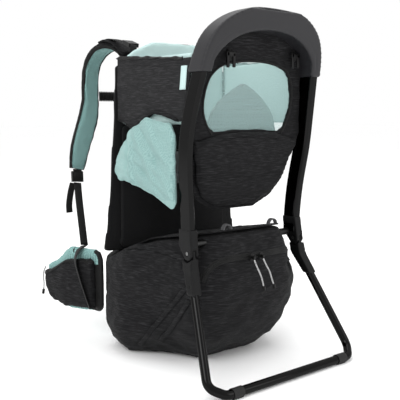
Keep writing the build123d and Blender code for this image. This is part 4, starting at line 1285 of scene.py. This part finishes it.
for side, flip in SIDES:
    low_route = on_side(flip, (-171, 277, 374), (-179, 256, 334), (-189, 226, 281), (-198, 198, 229))
    lower = webbing_run(f"lower_webbing_{side}", low_route, ACROSS_X, 20, None)
    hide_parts(f"lower_web_{side}")
    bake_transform(lower)
    belt_route = on_side(flip, (-199, 196, 227), (-219, 190, 218), (-232, 181, 196), (-230, 168, 160),
                         (-224, 154, 120), (-217, 142, 84))
    webbing_run(f"belt_webbing_{side}", belt_route, (0.35, 1, 0), 25, "wing_" + side)
    tail_route = on_side(flip, (-176, 292, 372), (-180, 297, 350), (-184, 300, 318), (-184, 299, 296))
    webbing_run(f"strap_tail_{side}", tail_route, ACROSS_X, 18, "harness")
    lifter_end = on_side(flip, (-112, 99, 706), (-116, 96, 690), (-119, 100, 668), (-118, 104, 650))
    webbing_run(f"lifter_tail_{side}", lifter_end, ACROSS_X, 18, "frame")
    wing_route = on_side(flip, (-88, 168, 690), (-96, 196, 714), (-101, 226, 722), (-103, 250, 719))
    webbing_run(f"lifter_wing_{side}", wing_route, ACROSS_X, 38, "harness", 0.006, "heather_cloth")
    lifter_route = on_side(flip, (-104, 262, 721), (-106, 214, 729), (-110, 133, 716))
    lifter = webbing_run(f"lifter_webbing_{side}", lifter_route, ACROSS_X, 20, "harness")
    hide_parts(f"lifter_web_{side}")
    loop_route = on_side(flip, (-168, 283, 408), (-169, 278, 400), (-170, 276, 388), (-170, 280, 378))
    webbing_run(f"lock_loop_{side}", loop_route, ACROSS_X, 24, "harness")
print("webbing runs placed")

# %% [markdown]
# A zip is a woven tape with a coil along its middle. The arch follows the bag's rear and corner
# faces; a piped storm edge runs just under it.

# %% Zip arch and bag seams
def arch(top, *half):
    """A symmetrical route over the bag's rear, from its left half and its top point."""
    return mm(*half, top, *on_side(-1, *reversed(half)))


ARCH = arch((0, -218, 249.5), (-131, -180, 200), (-125, -183, 216), (-110, -192, 234), (-92, -208, 246),
            (-60, -216, 249))
STORM = arch((0, -218, 237), (-122, -184, 190), (-116, -188, 210), (-103, -197, 224), (-86, -210, 234))
zip_tape = tape("zip_tape", bag, ARCH, 0.013, 0.0012, "webbing", "frame")
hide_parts("zip_track")
piping("zip_coil", bag, ARCH, 0.0014, "black_plastic", "frame", 0.0016)
piping("zip_storm_edge", bag, STORM, 0.0016, "heather_cloth", "frame")
for side, flip in SIDES:
    for name, route in BAG_SEAMS.items():
        seam = mm(*on_side(flip, *route))
        tape(f"{name}_{side}", bag, seam, 0.011, 0.0026, "heather_cloth", "frame")
TOP_ROW = [(-176, 60, 238), (-177, -10, 256), (-168, -70, 252), (-150, -125, 240)]
rows = [mm(*on_side(flip, *TOP_ROW)) for flip in (-1, 1)] + [[(x, y, z - 0.016) for x, y, z in STORM]]
stitches("bag_stitches", bag, rows, "heather_cloth", "frame")
print("zip and seams on the bag")

# %% [markdown]
# The zip pulls are short lengths of soft braided cord, on the real bag folded through the slider and
# held by a moulded grip. Here each is one round curve through given points, on the body it hangs from.

# %% Cord pulls
CORDS = {  # name: body, length, points in millimetres
    "zip_cord_left": ("zip_left", 0.0642, (
        (-29, -229, 241), (-27, -233.5, 229), (-19, -236, 213), (-11, -235, 197), (-5, -232.5, 183))),
    "zip_cord_right": ("zip_right", 0.0655, (
        (-3, -229, 241), (-0.5, -233.5, 229), (8.5, -236.5, 214), (16, -235, 197), (24, -232.5, 183))),
    "belt_cord_left": ("wing_left", 0.0607, (
        (-247, 314, 162), (-251, 319, 150), (-252, 320.5, 134), (-250.5, 318.5, 118), (-252, 319.5, 103))),
    "belt_cord_right": ("wing_right", 0.0607, (
        (247, 314, 162), (251, 319, 150), (252, 320.5, 134), (250.5, 318.5, 118), (252, 319.5, 103))),
}
CORD_THICK = 0.0034
for name, (body, cord_length, route) in CORDS.items():
    data = bpy.data.curves.new(name + "_line", "CURVE")
    data.dimensions = "3D"
    data.bevel_depth = CORD_THICK / 2
    data.bevel_resolution = 4
    data.use_fill_caps = True
    run = data.splines.new("NURBS")
    run.points.add(len(route) - 1)
    for point, place in zip(run.points, mm(*route)):
        point.co = (*place, 1)
    run.order_u = 3
    run.use_endpoint_u = True
    pull = bpy.data.objects.new(name + "_line", data)
    bpy.context.scene.collection.objects.link(pull)
    data.materials.append(finishes["cord_grey"])
    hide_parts(name)
    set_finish(pull, "cord_grey")
    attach(pull, body)
print("cord pulls:", list(CORDS))

# %% [markdown]
# Tapes bind the top rim and the hem of each side cloth, piping edges the side wings, and a zip with
# its own coil crosses each belt pocket.

# %% Bindings, wing piping and belt zips
for side, flip in SIDES:
    panel, wing, belt_pocket = pad["side_cloth_" + side], pad["side_wing_" + side], pad["belt_pocket_" + side]
    belt_body = "wing_" + side
    rim = mm(*on_side(flip, (-160, 96, 672), (-160, 20, 668), (-160, -80, 662), (-160, -156, 656)))
    tape(f"rim_binding_{side}", panel, rim, 0.008, 0.0013, "webbing", "frame")
    hem = mm(*on_side(flip, (-160, 94, 532), (-160, 34, 516), (-160, -46, 549), (-160, -108, 541),
                      (-160, -138, 532)))
    tape(f"hem_binding_{side}", panel, hem, 0.009, 0.0013, "heather_cloth", "frame")
    rows = [mm(*on_side(flip, (-160, 92, 655), (-160, 0, 650), (-160, -140, 642))),
            mm(*on_side(flip, (-160, 90, 545), (-160, 34, 530), (-160, -46, 561), (-160, -128, 550)))]
    stitches(f"panel_stitches_{side}", panel, rows, "heather_cloth", "frame")
    wing_edge = mm(*on_side(flip, (-174, -143, 503), (-174, -122, 524), (-174, -40, 536), (-174, 28, 505),
                            (-174, 78, 455), (-174, 90, 422), (-174, 74, 399), (-174, 18, 391),
                            (-174, -60, 376), (-174, -142, 349)))
    piping(f"wing_piping_{side}", wing, wing_edge, 0.0014, "aqua_cloth", "frame")
    zip_route = mm(*on_side(flip, (-208, 142, 196), (-222, 184, 192), (-240, 228, 186), (-252, 268, 163),
                            (-255, 300, 150)))
    tape(f"belt_zip_{side}", belt_pocket, zip_route, 0.010, 0.0012, "webbing", belt_body)
    piping(f"belt_zip_coil_{side}", belt_pocket, zip_route, 0.0012, "black_plastic", belt_body, 0.0014)
    foot = mm(*on_side(flip, (-208, 144, 90), (-222, 190, 82), (-242, 240, 84), (-255, 296, 114)))
    stitches(f"belt_stitches_{side}", belt_pocket, [foot], "heather_cloth", belt_body)
print("bindings and belt zips sewn")

# %% [markdown]
# The chest strap is one run of webbing through its buckle, with narrow ribs woven across it that
# keep the buckle from sliding. The ribs are many small blocks in one mesh.

# %% Chest strap
CHEST_Y, CHEST_Z = 312, 592
chest_route = ((-84, CHEST_Y, CHEST_Z), (-30, CHEST_Y + 2, CHEST_Z), (30, CHEST_Y + 2, CHEST_Z),
               (84, CHEST_Y, CHEST_Z))
chest_webbing = webbing_run("chest_webbing", chest_route, (0, 0, 1), 20, "sternum")
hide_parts("sternum_strap")
BLOCK_FACES = ((0, 1, 3, 2), (4, 6, 7, 5), (0, 4, 5, 1), (2, 3, 7, 6), (0, 2, 6, 4), (1, 5, 7, 3))
BUCKLE_HALF = 0.0255
rib_points, rib_faces = [], []
for x in np.arange(-0.082, 0.0825, 0.005):
    if abs(x) > BUCKLE_HALF:
        first = len(rib_points)
        rib_points += [(x + dx, CHEST_Y * MM + dy, CHEST_Z * MM + dz) for dx in (-0.0012, 0.0012)
                       for dz in (-0.0125, 0.0125) for dy in (-0.0006, 0.0026)]
        rib_faces += [tuple(first + k for k in quad) for quad in BLOCK_FACES]
ribs = add_mesh("sternum_ribs", rib_points, rib_faces, finishes["webbing"])
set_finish(ribs, "webbing")
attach(ribs, "sternum")
print("ribs on the chest strap:", len(rib_faces) // len(BLOCK_FACES))

# %% [markdown]
# The cockpit's side walls are lined with a brighter copy of the aqua cloth, painted light on cloth
# that sits in shade, and a short tab of it is sewn to the left side cloth near the hoop.

# %% Side linings and tab
for side, flip in SIDES:
    def lining_place(u, v):
        z = 526 + 140 * v
        rear = float(np.interp(z, [526, 600, 666], [-150, -160, -176]))
        return -152.5 * flip * MM, (86 + (rear - 86) * u) * MM, z * MM

    lining = grid_sheet(f"side_lining_{side}", 30, 24, lining_place, finishes["aqua_painted_light"], 0.0015)
    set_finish(lining, "aqua_cloth")
    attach(lining, "frame")


def tab_place(u, v):
    z = 594 + 47 * v
    return (-161.8 - 2.2 * sin(pi * u)) * MM, (-146 - 6 * v - 20 * u) * MM, z * MM


tab = grid_sheet("side_tab", 10, 14, tab_place, finishes["aqua_painted_light"], 0.0016)
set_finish(tab, "aqua_cloth")
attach(tab, "frame")
print("cockpit lined")

# %% [markdown]
# Two catches hang from short loops at the window's upper corners. Each is two prongs and a crossbar
# of black plastic, with the edges rounded by a Bevel modifier.

# %% Catches above the window
CATCH_BARS = {"a": (-8, -8, 7, 32), "b": (8, -9, 7, 28), "c": (0, 3, 25, 9)}      # x, z, width, height
BAR_FACES = [(0, 1, 2, 3), (7, 6, 5, 4), (0, 4, 5, 1), (1, 5, 6, 2), (2, 6, 7, 3), (3, 7, 4, 0)]
for side, x, z in (("left", -78, 662), ("right", 104, 668)):
    y = float(panel_face(z)) - 3
    loop = ((x, y, z + 16), (x - 1, y - 7, z + 6), (x + 1, y - 9, z - 4), (x, y - 2, z - 10))
    webbing_run(f"catch_loop_{side}", loop, ACROSS_X, 9, "frame")
    for part, (dx, dz, width, height) in CATCH_BARS.items():
        middle_x, middle_z = x + dx, z + dz
        bar = [(middle_x + sx * width / 2, middle_z + sz * height / 2)
               for sx, sz in ((-1, -1), (1, -1), (1, 1), (-1, 1))]
        corners = mm(*[(bx, y - depth, bz) for depth in (6, 10) for bx, bz in bar])
        catch = add_mesh(f"catch_{side}_{part}", corners, BAR_FACES, finishes["black_plastic"])
        rounded = catch.modifiers.new("rounded", "BEVEL")
        rounded.width = 0.0012
        rounded.segments = 3
        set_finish(catch, "black_plastic")
        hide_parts("panel_hooks")
        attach(catch, "frame")
print("catches hung")

# %% [markdown]
# The belt wings are spacer foam only where they lie on the wearer. Their rear, their root and their
# lower edge are faced with dark webbing cloth.

# %% Dark faces of the belt wings
for side, _ in SIDES:
    belt = pad["belt_wing_" + side]
    belt.data.materials.append(finishes["webbing"])
    for face in belt.data.polygons:
        low_root = face.center.z < 0.19 and face.center.y < 0.16
        if face.normal.y < -0.4 or face.center.y < 0.137 or low_root:
            face.material_index = 1
